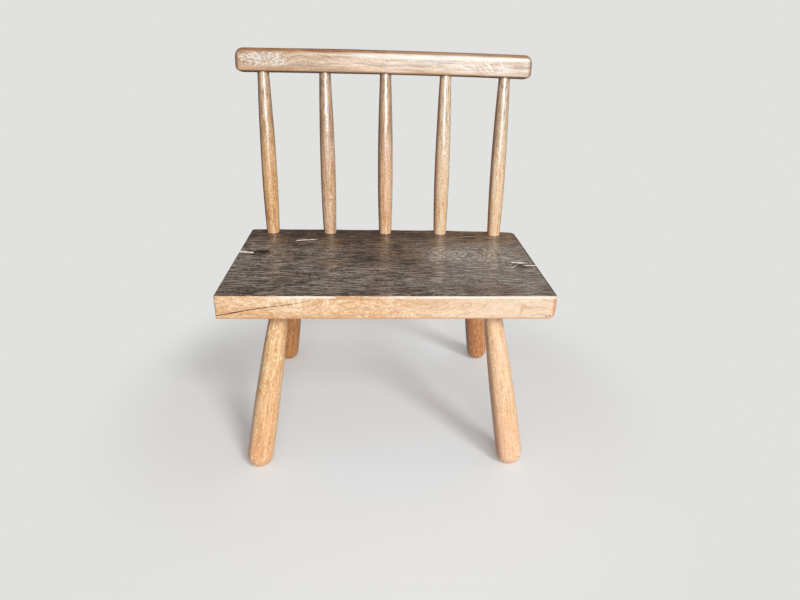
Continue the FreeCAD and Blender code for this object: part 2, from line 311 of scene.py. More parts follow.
def lean(piece, start, end):
    """Turn the piece's upright axis to run from start towards end, and move it to start."""
    run = Vector(end) - Vector(start)
    turn = Vector((0, 0, 1)).rotation_difference(run).to_matrix().to_4x4()
    piece.matrix_world = Matrix.Translation(start) @ turn @ piece.matrix_world
    settle(piece)


def turned(name, sides, stations):
    """Draw a round blank from its first station's end by extruding and scaling.

    A station is (place on the axis, radius).
    """
    (first, radius), (second, next_radius) = stations[:2]
    deselect()
    centre = (0, 0, (first + second) / 2)
    bpy.ops.mesh.primitive_cylinder_add(
        vertices=sides, radius=radius, depth=abs(second - first), location=centre
    )
    piece = added(name)
    settle(piece)
    sign = 1 if second > first else -1
    with editing(piece):
        pick(piece, "faces", lambda face: face.normal.z * sign > 0.9)
        ratio = next_radius / radius
        bpy.ops.transform.resize(value=(ratio, ratio, 1), center_override=(0, 0, second))
        for (here, old), (there, new) in zip(stations[1:], stations[2:]):
            bpy.ops.mesh.extrude_region_move(TRANSFORM_OT_translate={"value": (0, 0, there - here)})
            ratio = new / old
            bpy.ops.transform.resize(value=(ratio, ratio, 1), center_override=(0, 0, there))
    close_up(piece)
    return piece


def weigh(piece, name, share):
    """A vertex group whose weight is share(place), from 0 to 1."""
    group = piece.vertex_groups.new(name=name)
    for vertex in piece.data.vertices:
        group.add([vertex.index], min(max(share(vertex.co), 0.0), 1.0), "REPLACE")
    return group


def shave(piece, name, size, depth, stretch, share, along, level):
    """Stray the surface a little, in long flats along the grain, as a drawknife leaves it."""
    group = weigh(piece, name, share)
    texture = bpy.data.textures.new(name, "CLOUDS")
    texture.noise_scale = size
    texture.noise_depth = 1
    guide = bpy.data.objects.new(name, None)
    bpy.context.scene.collection.objects.link(guide)
    turn = Vector((0, 0, 1)).rotation_difference(Vector(along)).to_matrix().to_4x4()
    guide.matrix_world = turn @ Matrix.Diagonal((1, 1, stretch, 1))
    bpy.context.view_layer.update()
    modifier = piece.modifiers.new(name, "DISPLACE")
    modifier.texture = texture
    modifier.texture_coords = "OBJECT"
    modifier.texture_coords_object = guide
    modifier.strength = depth
    modifier.mid_level = level
    modifier.vertex_group = group.name
    apply(piece, modifier)
    bpy.data.objects.remove(guide)
    bpy.data.textures.remove(texture)
    piece.vertex_groups.remove(piece.vertex_groups[name])


def ragged(stations, seed):
    """The crack's stations, with more between them that stray a little."""
    draw = random.Random(seed)
    path = [stations[0]]
    for (start, width, depth), (end, next_width, next_depth) in zip(stations, stations[1:]):
        start, end = Vector(start), Vector(end)
        count = max(2, round((end - start).length / (5 * MM)))
        for step in range(1, count + 1):
            share = step / count
            here = start.lerp(end, share)
            stray = min(width, next_width, 3 * MM) * 0.16 * (step < count)
            here.y += draw.uniform(-stray, stray) * (abs(start.z - SEAT_TOP) < MM)
            here.z += draw.uniform(-stray, stray) * (abs(start.z - SEAT_TOP) >= MM)
            mouth = (width + (next_width - width) * share) * draw.uniform(0.72, 1.25)
            path.append((here, mouth, depth + (next_depth - depth) * share))
    return path


def groove(name, across, into, stations, material):
    """A cutter for a crack: a blade that is drawn along its stations.

    A station is (point on the surface, width of the mouth, depth). Across is
    the direction of the width, and into points into the wood.
    """
    across, into = Vector(across), Vector(into)
    lift = 2 * MM
    point, width, depth = stations[0]
    deselect()
    bpy.ops.mesh.primitive_plane_add(size=1)
    blade = added(name)
    turn = Matrix((across, into, across.cross(into))).transposed().to_4x4()
    size = Matrix.Diagonal((width, depth + lift, 1, 1))
    centre = Vector(point) + into * (depth - lift) / 2
    blade.matrix_world = Matrix.Translation(centre) @ turn @ size
    settle(blade)
    with editing(blade):
        bpy.ops.mesh.select_all(action="SELECT")
        for (_, old_width, old_depth), (point, new_width, new_depth) in zip(stations, stations[1:]):
            aim = Vector(point) + into * (new_depth - lift) / 2
            bpy.ops.mesh.extrude_region_move(TRANSFORM_OT_translate={"value": aim - centre})
            centre = aim
            wide = new_width / old_width
            deep = (new_depth + lift) / (old_depth + lift)
            factors = [
                1 + (wide - 1) * abs(sideways) + (deep - 1) * abs(inwards)
                for sideways, inwards in zip(across, into)
            ]
            bpy.ops.transform.resize(value=factors, center_override=centre)
        bpy.ops.mesh.select_all(action="SELECT")
        bpy.ops.mesh.normals_make_consistent(inside=False)
    blade.data.materials.append(material)
    return blade


# Shader nodes

class Wire:
    """A node's output, which adds and multiplies as a number does."""

    def __init__(self, socket):
        self.socket = socket
        self.tree = socket.id_data

    def __add__(self, other):
        return calc("ADD", self, other)

    def __sub__(self, other):
        return calc("SUBTRACT", self, other)

    def __rsub__(self, other):
        return calc("SUBTRACT", other, self)

    def __mul__(self, other):
        return calc("MULTIPLY", self, other)

    def __abs__(self):
        return calc("ABSOLUTE", self)


def plug(socket, value):
    """Link a wire to an input, or set the input; a colour may come without its alpha."""
    if isinstance(value, Wire):
        value.tree.links.new(value.socket, socket)
    elif socket.type == "RGBA":
        socket.default_value = (*value, 1.0)[:4]
    else:
        socket.default_value = value


def wires(made):
    """A node's outputs by their names."""
    return {output.name: Wire(output) for output in made.outputs}


def node(tree, kind, inputs=None, **settings):
    """Add a node with these inputs and settings, and give its outputs."""
    made = tree.nodes.new(f"ShaderNode{kind}")
    for name, value in settings.items():
        setattr(made, name, value)
    for name, value in (inputs or {}).items():
        plug(made.inputs[name], value)
    return wires(made)


def tree_of(*values):
    return next(value.tree for value in values if isinstance(value, Wire))


def calc(operation, *values, clamp=False):
    inputs = dict(enumerate(values))
    return node(tree_of(*values), "Math", inputs, operation=operation, use_clamp=clamp)["Value"]


def most(first, *rest):
    """The greatest of several values."""
    for value in rest:
        first = calc("MAXIMUM", first, value)
    return first


def vectors(operation, first, second=(0, 0, 0)):
    """Vector maths; a length and a dot product are values."""
    made = node(first.tree, "VectorMath", {0: first, 1: second}, operation=operation)
    return made["Value" if operation in ("LENGTH", "DOT_PRODUCT") else "Vector"]


def parted(vector):
    """The vector's X, Y and Z."""
    return node(vector.tree, "SeparateXYZ", {"Vector": vector}).values()


def ranged(value, low, high, to_low=0.0, to_high=1.0, kind="LINEAR"):
    """The value's place between low and high, as one between to_low and to_high."""
    inputs = {"Value": value, "From Min": low, "From Max": high}
    inputs |= {"To Min": to_low, "To Max": to_high}
    return node(value.tree, "MapRange", inputs, interpolation_type=kind)["Result"]


def softly(value, low, high, to_low=0.0, to_high=1.0):
    """The same, easing in and out."""
    return ranged(value, low, high, to_low, to_high, "SMOOTHSTEP")


def mixed(share, first, second, blend="MIX"):
    """Two colours mixed."""
    made = tree_of(share, first, second).nodes.new("ShaderNodeMix")
    made.data_type, made.blend_type = "RGBA", blend
    sockets = {socket.identifier: socket for socket in (*made.inputs, *made.outputs)}
    plug(made.inputs[0], share)
    plug(sockets["A_Color"], first)
    plug(sockets["B_Color"], second)
    return Wire(sockets["Result_Color"])


def ramp(value, *stops):
    """Colours along a value."""
    colour = node(value.tree, "ValToRGB", {"Fac": value})["Color"]
    elements = colour.socket.node.color_ramp.elements
    while len(elements) < len(stops):
        elements.new(0.5)
    for element, (place, tone) in zip(elements, stops):
        element.position = place
        element.color = opaque(tone)
    return colour


def stretched(vector, scale):
    inputs = {"Vector": vector, "Scale": scale}
    return node(vector.tree, "Mapping", inputs, vector_type="POINT")["Vector"]


def moved(vector, place=(0, 0, 0), turn=(0, 0, 0)):
    """The vector as seen from another place and turn."""
    inputs = {"Vector": vector, "Location": place, "Rotation": turn}
    return node(vector.tree, "Mapping", inputs, vector_type="TEXTURE")["Vector"]


def scaled(vector, along, across, times=1.0):
    """The vector, times one number along X and another across it."""
    factors = node(tree_of(vector), "CombineXYZ", {"X": along, "Y": across, "Z": across})["Vector"]
    made = vectors("MULTIPLY", vector, factors)
    return made if times == 1.0 else vectors("MULTIPLY", made, (times, times, times))


def noise(vector, detail, seed, rough=0.55):
    """Noise whose size is set by its vector alone."""
    inputs = {"Vector": vector, "Scale": 1.0, "Detail": detail, "Roughness": rough, "W": seed}
    return node(vector.tree, "TexNoise", inputs, noise_dimensions="4D")["Fac"]


def titled(name):
    return name.replace("_", " ").title()


def grouped(build):
    """Turn a function of wires into a node group, built at its first use and then only placed.

    The function's parameters are the group's inputs, and it gives the outputs by their names.
    """
    name = titled(build.__name__)
    defaults = {label: part.default for label, part in inspect.signature(build).parameters.items()}

    def built():
        tree = bpy.data.node_groups.new(name, "ShaderNodeTree")
        for label, default in defaults.items():
            kind = {float: "Float", tuple: "Color", Vector: "Vector"}[type(default)]
            socket = tree.interface.new_socket(
                name=titled(label), in_out="INPUT", socket_type=f"NodeSocket{kind}"
            )
            socket.default_value = opaque(default) if kind == "Color" else default
        given = tree.nodes.new("NodeGroupInput").outputs
        outputs = build(*(Wire(given[titled(label)]) for label in defaults))
        for label in outputs:
            kind = "Color" if label == "Color" else "Float"
            tree.interface.new_socket(name=label, in_out="OUTPUT", socket_type=f"NodeSocket{kind}")
        result = tree.nodes.new("NodeGroupOutput")
        for label, value in outputs.items():
            plug(result.inputs[label], value)
        return tree

    def placed(tree, **inputs):
        group = bpy.data.node_groups.get(name) or built()
        made = tree.nodes.new("ShaderNodeGroup")
        made.node_tree = group
        for label, value in inputs.items():
            plug(made.inputs[titled(label)], value)
        return wires(made)

    return placed


@grouped
def grain(
    vector=Vector(), light=tint(226, 190, 150), middle=tint(205, 160, 118), dark=tint(160, 112, 72),
    ring_scale=40.0, ring_sway=3.0, ring_share=0.3, fibre_length=12.0, fibre_width=340.0,
    fibre_share=0.5, broad_share=0.6, speck_share=0.3, seed=0.0,
):
    """Growth rings, fibres and open pores of wood whose grain runs along X."""
    rings = node(vector.tree, "TexWave", {
        "Vector": stretched(vector, (0.16, 1.0, 1.0)), "Scale": ring_scale, "Distortion": ring_sway,
        "Detail": 2.0, "Detail Scale": 0.6, "Detail Roughness": 0.55, "Phase Offset": seed,
    }, wave_type="RINGS", rings_direction="X", wave_profile="SAW")["Fac"]
    fibres = noise(scaled(vector, fibre_length, fibre_width), 3.0, seed, 0.6)
    fine = noise(scaled(vector, fibre_length, fibre_width, 2.7), 2.0, seed)
    broad = noise(stretched(vector, (5, 34, 34)), 3.0, seed)
    specks = noise(stretched(vector, (230, 400, 400)), 1.0, seed)
    pores = softly(noise(stretched(vector, (90, 900, 900)), 1.0, seed), 0.6, 0.7)
    total = (rings - 0.5) * ring_share + 0.5
    for field, share in (
        (fibres, fibre_share * 3.0), (fine, fibre_share * 1.6), (broad, broad_share),
        (specks, speck_share * 3.0),
    ):
        total = (field - 0.5) * share + total
    figure = calc("ADD", total, 0.0, clamp=True)
    lower = mixed(ranged(figure, 0.0, 0.5), dark, middle)
    colour = mixed(ranged(figure, 0.5, 1.0), lower, light)
    return {"Color": colour, "Figure": figure, "Pores": pores, "Height": figure - pores * 0.6}


@grouped
def liming(
    vector=Vector(), color=(0.0, 0.0, 0.0), paste=tint(246, 236, 222), amount=0.5, length=120.0,
    width=420.0, seed=0.0,
):
    """Pale paste left in the pores, in short fine flecks that come in patches."""
    flecks = noise(scaled(vector, length, width), 1.0, seed)
    patches = noise(stretched(vector, (7, 26, 26)), 2.0, seed)
    # More paste where a patch is strong: the edge that a fleck must pass comes down
    edge = ranged(softly(patches, 0.35, 0.65) * amount, 0.0, 1.0, 0.72, 0.42)
    return {"Color": mixed(softly(flecks - edge, 0.0, 0.07), color, paste)}


@grouped
def contours(vector=Vector(), along=10.0, across=40.0, count=8.0, width=0.1, rise=0.0, seed=0.0):
    """Thin lines that wander as growth rings do where a saw runs along them."""
    level = noise(scaled(vector, along, across), 1.0, seed, 0.35) * count + rise
    return {"Mask": softly(0.5 - abs(calc("FRACT", level) - 0.5), width, 0.0)}


@grouped
def streaks(vector=Vector(), length=9.0, width=330.0, edge=0.58, seed=0.0):
    """Fine long streaks that either show or don't."""
    return {"Mask": softly(noise(scaled(vector, length, width), 1.0, seed, 0.4) - edge, 0.0, 0.08)}


@grouped
def facing(turn=Vector(), low=0.5, high=0.85):
    """Masks from which way the surface faces, once turned back.

    Up, Front and Left are 1 on what faces there, Middle on the middle of a
    turned piece's front, and Arris round an arris.
    """
    x, y, z = parted(moved(node(turn.tree, "NewGeometry")["Normal"], turn=turn))
    front = softly(y, -0.25, -0.7)
    return {
        "Up": softly(z, low, high),
        "Front": front,
        "Left": softly(x, -0.6, -0.95),
        "Middle": softly(abs(x - 0.08), 0.5, 0.2) * front,
        "Arris": softly(most(abs(x), abs(y), abs(z)), 0.985, 0.87),
    }


def new_material(name):
    """A material with its shader, ready for its nodes."""
    material = bpy.data.materials.new(name)
    material.use_nodes = True
    tree = material.node_tree
    return material, tree, tree.nodes["Principled BSDF"]


def piece_space(tree, place=(0, 0, 0), turn=(0, 0, 0)):
    """Coordinates of the piece, moved and turned so that its grain runs along X."""
    return moved(node(tree, "TexCoord")["Object"], place, turn)


def relief(shader, height, strength):
    """Let the height stand out."""
    bump = node(height.tree, "Bump", {"Height": height, "Strength": strength, "Distance": 0.4 * MM})
    plug(shader.inputs["Normal"], bump["Normal"])


WAX_IOR = 1.7


def wax(shader, colour, wood, smoothest, roughest, coat, coat_roughness, strength):
    """The colour on waxed wood, which is duller in its pores."""
    plug(shader.inputs["Base Color"], colour)
    sheen = ranged(wood["Figure"], 0.0, 1.0, roughest, smoothest)
    plug(shader.inputs["Roughness"], sheen + wood["Pores"] * 0.15)
    for name, value in (("Weight", coat), ("Roughness", coat_roughness), ("IOR", WAX_IOR)):
        shader.inputs[f"Coat {name}"].default_value = value
    relief(shader, wood["Height"], strength)


def spot(space, centre, reach):
    """1 at centre, falling to 0 at reach along each axis."""
    share = vectors("MULTIPLY", vectors("SUBTRACT", space, centre), tuple(1 / r for r in reach))
    return softly(vectors("LENGTH", share), 1.0, 0.0)


def swollen(space, swirls):
    """The space with its grain pushed round knots and swirls, given as (centre, reach, push)."""
    rise = 0.0
    for centre, reach, push in swirls:
        rise = spot(space, centre, reach) * push + rise
    return vectors("ADD", space, node(space.tree, "CombineXYZ", {"Z": rise})["Vector"])


# How dark the dirt is round each tenon
TENON_RINGS = {"front_left": 0.3, "front_right": 1.0, "rear_left": 0.6, "rear_right": 0.55}
# Where the seat's grain swirls: its centre, how far it reaches, and how strongly
SWIRLS = [
    ((0.165, 0.018, SEAT_TOP), (0.085, 0.05, 0.05), 0.026),
    ((-0.262, 0.034, SEAT_TOP), (0.07, 0.035, 0.04), 0.018),
    ((0.277, -0.036, SEAT_TOP), (0.05, 0.03, 0.04), 0.014),
    ((-0.15, -0.196, 0.325), (0.09, 0.05, 0.03), 0.02),
    ((0.075, -0.196, 0.338), (0.06, 0.05, 0.03), 0.016),
    ((0.235, -0.196, 0.322), (0.05, 0.05, 0.025), 0.012),
]
# Dark stains on the seat's top
STAINS = [
    ((-0.254, 0.026, SEAT_TOP), (0.036, 0.024, 0.03)),
    ((0.272, -0.042, SEAT_TOP), (0.034, 0.02, 0.03)),
    ((-0.04, 0.0, SEAT_TOP), (0.05, 0.08, 0.03)),
    ((0.01, -0.02, SEAT_TOP), (0.08, 0.035, 0.03)),
    ((-0.147, -0.123, SEAT_TOP), (0.012, 0.007, 0.02)),
    ((0.02, 0.15, SEAT_TOP), (0.22, 0.03, 0.03)),
    ((-0.16, 0.17, SEAT_TOP), (0.3, 0.11, 0.03)),
]
# Two small holes near the right end's lower corner
NAIL_HOLES = [
    ((0.2885, FRONT, 0.3135), (0.0022, 0.01, 0.0018)),
    ((0.2945, FRONT, 0.3145), (0.0024, 0.01, 0.002)),
]
# Where the seat's top swirls most, the middle of its rings, and how many rings
# there are to a metre along each axis
SWIRL_CENTRE = (0.17, 0.026, SEAT_TOP)
RING_CENTRE = (0.14, 0.024, SEAT_TOP)
RINGS_PER_METRE = (66.0, 104.0, 0.0)
DARK_RIM = tint(84, 56, 36)


def edge_colour(settings, tree, plain, space, rings, at_front):
    """The seat's edges: limed honey in front, growth rings on the ends."""
    x, _, z = parted(plain)
    wood = grain(
        tree, vector=rings, light=tint(255, 230, 196), middle=settings.edge_colour,
        dark=tint(204, 148, 100), ring_scale=16.0, ring_sway=5.0, ring_share=0.2, fibre_length=70.0,
        fibre_width=190.0, fibre_share=0.55, broad_share=0.8, speck_share=0.3, seed=3.1,
    )
    figures = contours(tree, vector=space, along=13.0, across=30.0, count=7.0, width=0.09, seed=2.4)
    # Painted light: the edges grow paler towards the right, as if lit more there
    bleached = mixed(softly(x, -0.05, 0.22, 0.0, 0.55), wood["Color"], tint(255, 236, 214))
    lined = mixed(figures["Mask"] * 0.4, bleached, tint(192, 134, 92))
    limed = liming(
        tree, vector=plain, color=lined, paste=tint(254, 242, 220), amount=0.25, length=150.0,
        width=330.0, seed=1.7,
    )
    low_edge = softly(z, SEAT_UNDER + 4 * MM, SEAT_UNDER + 0.5 * MM)
    corner = most(softly(x, 0.2955, 0.3035), softly(x, -0.3025, -0.305))
    corner = corner * ranged(at_front, 0.0, 1.0, 0.3, 1.0)
    warm = mixed(most(low_edge, corner) * 0.85, limed["Color"], tint(214, 138, 82))
    # The ends show the growth rings, round a heart that lay under the slab
    end_grain = grain(
        tree, vector=moved(plain, (0.0, 0.05, 0.215)), light=tint(232, 196, 156),
        middle=tint(206, 160, 116), dark=tint(146, 102, 68), ring_scale=62.0, ring_sway=1.4,
        ring_share=0.6, fibre_length=300.0, fibre_width=300.0, fibre_share=0.4, broad_share=0.4,
        speck_share=0.3, seed=4.4,
    )
    at_end = most(ranged(x, 0.3005, 0.3025), ranged(x, -0.304, -0.3048)) * (1.0 - at_front)
    warm = mixed(at_end, warm, end_grain["Color"])
    warm = mixed(most(*(spot(plain, *hole) for hole in NAIL_HOLES)), warm, tint(52, 34, 22))
    # A painted highlight runs along the front's upper edge, here and there
    rub = noise(stretched(plain, (14, 60, 60)), 2.0, 4.0) + softly(x, -0.02, 0.05) * 0.12
    rub = rub + spot(plain, (-0.155, FRONT, SEAT_TOP), (0.045, 0.05, 0.05)) * 0.2
    band = softly(z, SEAT_TOP - 6.5 * MM, SEAT_TOP - 4 * MM) * (softly(rub, 0.5, 0.6) * at_front)
    return mixed(band * 0.7, warm, tint(255, 248, 238))


def top_colour(tree, plain, space, wood):
    """The seat's top: weathered, greyer and lighter to the right with a painted sheen, browner
    behind, dirty round the tenons.
    """
    x, y, _ = parted(plain)
    colour = ramp(
        wood["Figure"], (0.05, tint(46, 37, 30)), (0.36, tint(84, 73, 62)),
        (0.6, tint(112, 101, 90)), (0.95, tint(174, 165, 154)),
    )
    furrows = streaks(tree, vector=space, length=22.0, width=380.0, edge=0.54, seed=1.2)
    ridges = streaks(tree, vector=space, length=34.0, width=400.0, edge=0.56, seed=6.8)
    colour = mixed(furrows["Mask"] * 0.85, colour, tint(48, 37, 30))
    colour = mixed(ridges["Mask"] * 0.9, colour, tint(196, 186, 174))
    colour = liming(
        tree, vector=plain, color=colour, paste=tint(186, 174, 158), amount=0.4, length=36.0,
        width=400.0, seed=8.4,
    )["Color"]
    swirl = spot(plain, SWIRL_CENTRE, (0.155, 0.09, 0.05))
    apart = vectors("MULTIPLY", vectors("SUBTRACT", plain, RING_CENTRE), RINGS_PER_METRE)
    scales = contours(
        tree, vector=plain, along=42.0, across=60.0, count=3.6, width=0.3, seed=5.5,
        rise=vectors("LENGTH", apart),
    )
    colour = mixed(scales["Mask"] * swirl * 0.9, colour, tint(226, 219, 208))
    # Greyer towards the right and over the swirl: partly weathering, partly a painted sheen
    greyed = most(softly(x, 0.02, 0.2, 0.0, 0.26), swirl * 0.3)
    colour = mixed(greyed, colour, tint(178, 168, 157), "SCREEN")
    patches = noise(stretched(plain, (8, 20, 20)), 3.0, 2.0)
    browner = softly(patches, 0.48, 0.64, 0.1, 0.5) + softly(y, 0.02, 0.16, 0.0, 0.85)
    centre = spot(plain, (-0.03, 0.02, SEAT_TOP), (0.2, 0.16, 0.05)) * 0.5
    browner = calc("ADD", browner, centre, clamp=True)
    colour = mixed(browner, colour, tint(226, 190, 154), "MULTIPLY")
    to_front = softly(y, -0.12, -0.185, 0.0, 0.8)
    colour = mixed(to_front, colour, tint(224, 220, 218), "MULTIPLY")
    stain = most(0.0, *(spot(plain, *stain) for stain in STAINS))
    blurred = noise(stretched(plain, (40, 160, 160)), 3.0, 5.0)
    colour = mixed(stain * ranged(blurred, 0.36, 0.58, 0.25, 0.9), colour, tint(52, 38, 29))
    ringed = 0.0
    for place, centre in LEG_TOPS.items():
        apart = vectors("SUBTRACT", plain, (*centre, 0.0))
        radius = vectors("LENGTH", vectors("MULTIPLY", apart, (1.0, 1.0, 0.0)))
        ringed = most(ringed, softly(radius, 0.0192, 0.0168, 0.0, TENON_RINGS[place]))
    colour = mixed(ringed, colour, tint(40, 31, 25))
    return mixed(softly(x, 0.2995, 0.303, 0.0, 0.85), colour, DARK_RIM)


def seat_material(settings):
    """The slab: weathered grey-brown on top, limed honey on its edges."""
    material, tree, shader = new_material("Weathered slab")
    plain = piece_space(tree)
    space = swollen(plain, SWIRLS)
    rings = moved(space, (0.1, 0.03, 0.322), (0.02, -0.05, 0.012))
    _, y, _ = parted(plain)
    at_front = ranged(y, FRONT + 6 * MM, FRONT + 3.5 * MM)
    wood = grain(
        tree, vector=rings, ring_scale=70.0, ring_sway=2.2, ring_share=0.16, fibre_length=22.0,
        fibre_width=300.0, fibre_share=0.8, broad_share=0.15, speck_share=0.7, seed=7.7,
    )
    edges = edge_colour(settings, tree, plain, space, rings, at_front)
    faces = facing(tree, low=0.5, high=0.93)
    up = faces["Up"]
    arris = mixed(faces["Front"], tint(160, 108, 66), edges)
    edges = mixed(faces["Arris"] * 0.75, edges, arris)
    colour = mixed(up, edges, top_colour(tree, plain, space, wood))
    # A thin line of clean wood runs between the top and the edges
    between = calc("MULTIPLY", up * (1.0 - up), 3.4, clamp=True)
    colour = mixed(between, colour, mixed(at_front, DARK_RIM, tint(204, 142, 90)))
    wax(shader, colour, wood, 0.34, 0.56, 0.3, 0.24, strength=0.5)
    return material


def turned_material(
    name, start, end, colours, seed, coat, fibre, chalk=0.0, rose=0.0, chevrons=0.0, browned=0.0
):
    """Limed honey wood whose grain follows a leaning piece, chalkier towards its top, with a
    painted highlight down the front's middle and painted shade on its sides.
    """
    material, tree, shader = new_material(name)
    run = Vector(end) - Vector(start)
    turn = Vector((1, 0, 0)).rotation_difference(run).to_euler()
    space = piece_space(tree, Vector(start) + Vector((0.004, 0.011, 0)), turn)
    light, mid, dark = colours
    wood = grain(
        tree, vector=space, light=light, middle=mid, dark=dark, ring_scale=30.0, ring_sway=1.5,
        ring_share=0.1, fibre_length=14.0, fibre_width=360.0, fibre_share=fibre, broad_share=0.3,
        speck_share=fibre * 0.7, seed=seed,
    )
    darker = streaks(tree, vector=space, length=26.0, width=380.0, edge=0.56, seed=seed + 1.0)
    halfway = tuple((one + two) / 2 for one, two in zip(mid, dark))
    colour = liming(
        tree, vector=space, color=mixed(darker["Mask"] * 0.35, wood["Color"], halfway),
        paste=tuple(min(1.0, 1.15 * part + 0.1) for part in light), amount=0.4, length=120.0,
        width=360.0, seed=seed + 4.0,
    )["Color"]
    height, _, aside = parted(space)
    long = run.length
    rosy = softly(height, 0.55 * long, 0.1 * long, 0.0, rose)
    colour = mixed(rosy, colour, tint(246, 218, 208), "MULTIPLY")
    cloudy = noise(stretched(space, (16, 110, 110)), 3.0, seed + 2.0)
    if chevrons:
        # Growth rings that the turning cut into nested Vs
        nested = contours(
            tree, vector=space, along=16.0, across=70.0, count=4.0, width=0.26, seed=seed + 7.0,
            rise=height * 38.0 - abs(aside) * 85.0,
        )
        clear = nested["Mask"] * softly(cloudy, 0.4, 0.55, 0.15, 1.0)
        colour = mixed(clear * chevrons, colour, tint(232, 186, 134))
    run_up = softly(height, 0.3 * long, 0.9 * long, 0.0, chalk)
    stringy = noise(stretched(space, (45, 420, 420)), 2.0, seed + 3.0)
    faces = facing(tree)
    # Chalky paste towards the top, whitest down the front's middle: partly liming, partly a painted
    # highlight
    dusted = run_up * softly(cloudy, 0.34, 0.62, 0.4, 1.0) * softly(stringy, 0.42, 0.55, 0.2, 1.0)
    dusted = dusted * ranged(faces["Middle"], 0.0, 1.0, 0.2, 1.0)
    colour = mixed(dusted, colour, tint(230, 228, 226))
    # Painted shade on the sides of the heads, away from the front's middle; browned sets how dark
    high = softly(height, 0.4 * long, 0.7 * long, 0.0, browned)
    handled = (1.0 - faces["Middle"]) * high * ranged(cloudy, 0.3, 0.6, 0.5, 1.0)
    colour = mixed(handled, colour, tint(150, 112, 80))
    colour = mixed(run_up * softly(stringy, 0.47, 0.38, 0.0, 0.8), colour, tint(128, 104, 84))
    # Painted shade on each piece's left side
    shade = faces["Left"] * ranged(cloudy, 0.3, 0.6, 0.5, 0.8)
    darkest = tuple(share * part for share, part in zip((0.62, 0.5, 0.42), dark))
    colour = mixed(shade, colour, darkest)
    wax(shader, colour, wood, 0.34, 0.5, coat, 0.17, strength=0.25)
    return material


# Where the rail's grain swirls, in the rail's own frame
RAIL_SWIRLS = [
    ((-0.25, -0.018, 0.024), (0.08, 0.03, 0.022), 0.02),
    ((0.215, -0.018, 0.024), (0.05, 0.03, 0.03), 0.014),
    ((0.0, -0.018, 0.03), (0.06, 0.03, 0.02), 0.006),
]


def rail_material(settings):
    """The crest rail: browned along its top, limed on its face, with a painted sheen and highlight
    there.
    """
    material, tree, shader = new_material("Crest rail wood")
    local = piece_space(tree, (0.0, RAIL_Y, RAIL_Z), (-RAIL_RAKE, RAIL_FALL, 0.0))
    space = moved(swollen(local, RAIL_SWIRLS), (0.05, 0.03, 0.004), (0.0, 0.025, 0.02))
    x, _, z = parted(local)
    wood = grain(
        tree, vector=space, light=tint(238, 212, 184), middle=settings.colour,
        dark=tint(140, 96, 64), ring_scale=48.0, ring_sway=2.0, ring_share=0.24, fibre_length=12.0,
        fibre_width=330.0, fibre_share=0.65, broad_share=0.35, speck_share=0.4, seed=11.0,
    )
    lines = streaks(tree, vector=space, length=12.0, width=300.0, edge=0.54, seed=2.9)
    lined = mixed(lines["Mask"] * 0.5, wood["Color"], tint(136, 98, 70))
    face = liming(
        tree, vector=local, color=lined, amount=0.25, length=60.0, width=400.0, seed=6.0
    )["Color"]
    # The right half holds more paste and a painted sheen, and the left end more paste
    step = softly(x, -0.006, 0.008, 0.15, 0.45)
    rightward = step + softly(x, 0.05, 0.25, 0.0, 0.35)
    patch = spot(local, (-0.255, -0.018, 0.025), (0.085, 0.03, 0.024))
    strings = noise(stretched(local, (18, 200, 200)), 3.0, 9.0)
    chalk = most(rightward, patch * 0.5) * ranged(strings, 0.38, 0.6, 0.1, 1.0)
    face = mixed(chalk, face, tint(248, 243, 235))
    # A painted highlight runs along the upper front from left of the middle on; the face is
    # feathered near the right end, and flecked in a patch at the left
    crest = softly(z, 0.029, 0.035) * softly(x, -0.1, -0.04)
    slanted = moved(local, turn=(0.0, 0.75, 0.0))
    strokes = streaks(tree, vector=slanted, length=45.0, width=300.0, edge=0.52, seed=3.3)
    feathers = strokes["Mask"] * spot(local, (0.228, -0.018, 0.022), (0.06, 0.03, 0.03))
    flecks = streaks(tree, vector=local, length=170.0, width=420.0, edge=0.5, seed=8.8)
    teardrop = ranged(patch, 0.15, 0.4, 0.0, 0.8) * flecks["Mask"]
    face = mixed(most(teardrop, crest * 0.6, feathers * 0.8), face, tint(250, 244, 234))
    face = mixed(softly(z, 0.016, 0.005, 0.0, 0.45), face, tint(214, 160, 104))
    rubbed = most(softly(abs(x), 0.305, 0.315), softly(z, 0.005, 0.0015)) * 0.85
    face = mixed(rubbed, face, tint(136, 86, 46))
    # The top is browner, and darkest along its crown
    raked = (-RAIL_RAKE, 0.0, 0.0)
    browned = mixed(1.0, lined, tint(206, 170, 130), "MULTIPLY")
    browned = mixed(step * 0.7, browned, tint(212, 184, 158))
    crown = facing(tree, turn=raked, low=0.78, high=0.95)["Up"]
    browned = mixed(crown * 0.55, browned, tint(96, 66, 44))
    colour = mixed(facing(tree, turn=raked, low=0.12, high=0.5)["Up"], face, browned)
    wax(shader, colour, wood, 0.3, 0.48, 0.3, 0.2, strength=0.3)
    return material


SPLIT_COLOURS = {
    "white": (tint(196, 176, 152), tint(244, 234, 220), tint(255, 250, 242)),
    "dusty": (tint(132, 116, 100), tint(172, 158, 142), tint(206, 192, 174)),
    # The dark filling is old dirt with painted shade
    "dark": (tint(20, 15, 12), tint(42, 32, 25), tint(74, 58, 45)),
}


def split_materials():
    """What shows in the cracks: torn clean fibres, dust, and near-black old dirt that is partly
    painted shade.
    """
    made = {}
    for filling, (low, mid, high) in SPLIT_COLOURS.items():
        made[filling], tree, shader = new_material(f"Split, {filling}")
        space = stretched(piece_space(tree), (70, 480, 480))
        torn = node(tree, "TexNoise", {"Vector": space, "Scale": 1.0, "Detail": 3.0})["Fac"]
        plug(shader.inputs["Base Color"], ramp(torn, (0.34, low), (0.5, mid), (0.66, high)))
        plug(shader.inputs["Roughness"], ranged(torn, 0.2, 0.8, 0.95, 0.7))
        relief(shader, torn, 0.6)
    return made


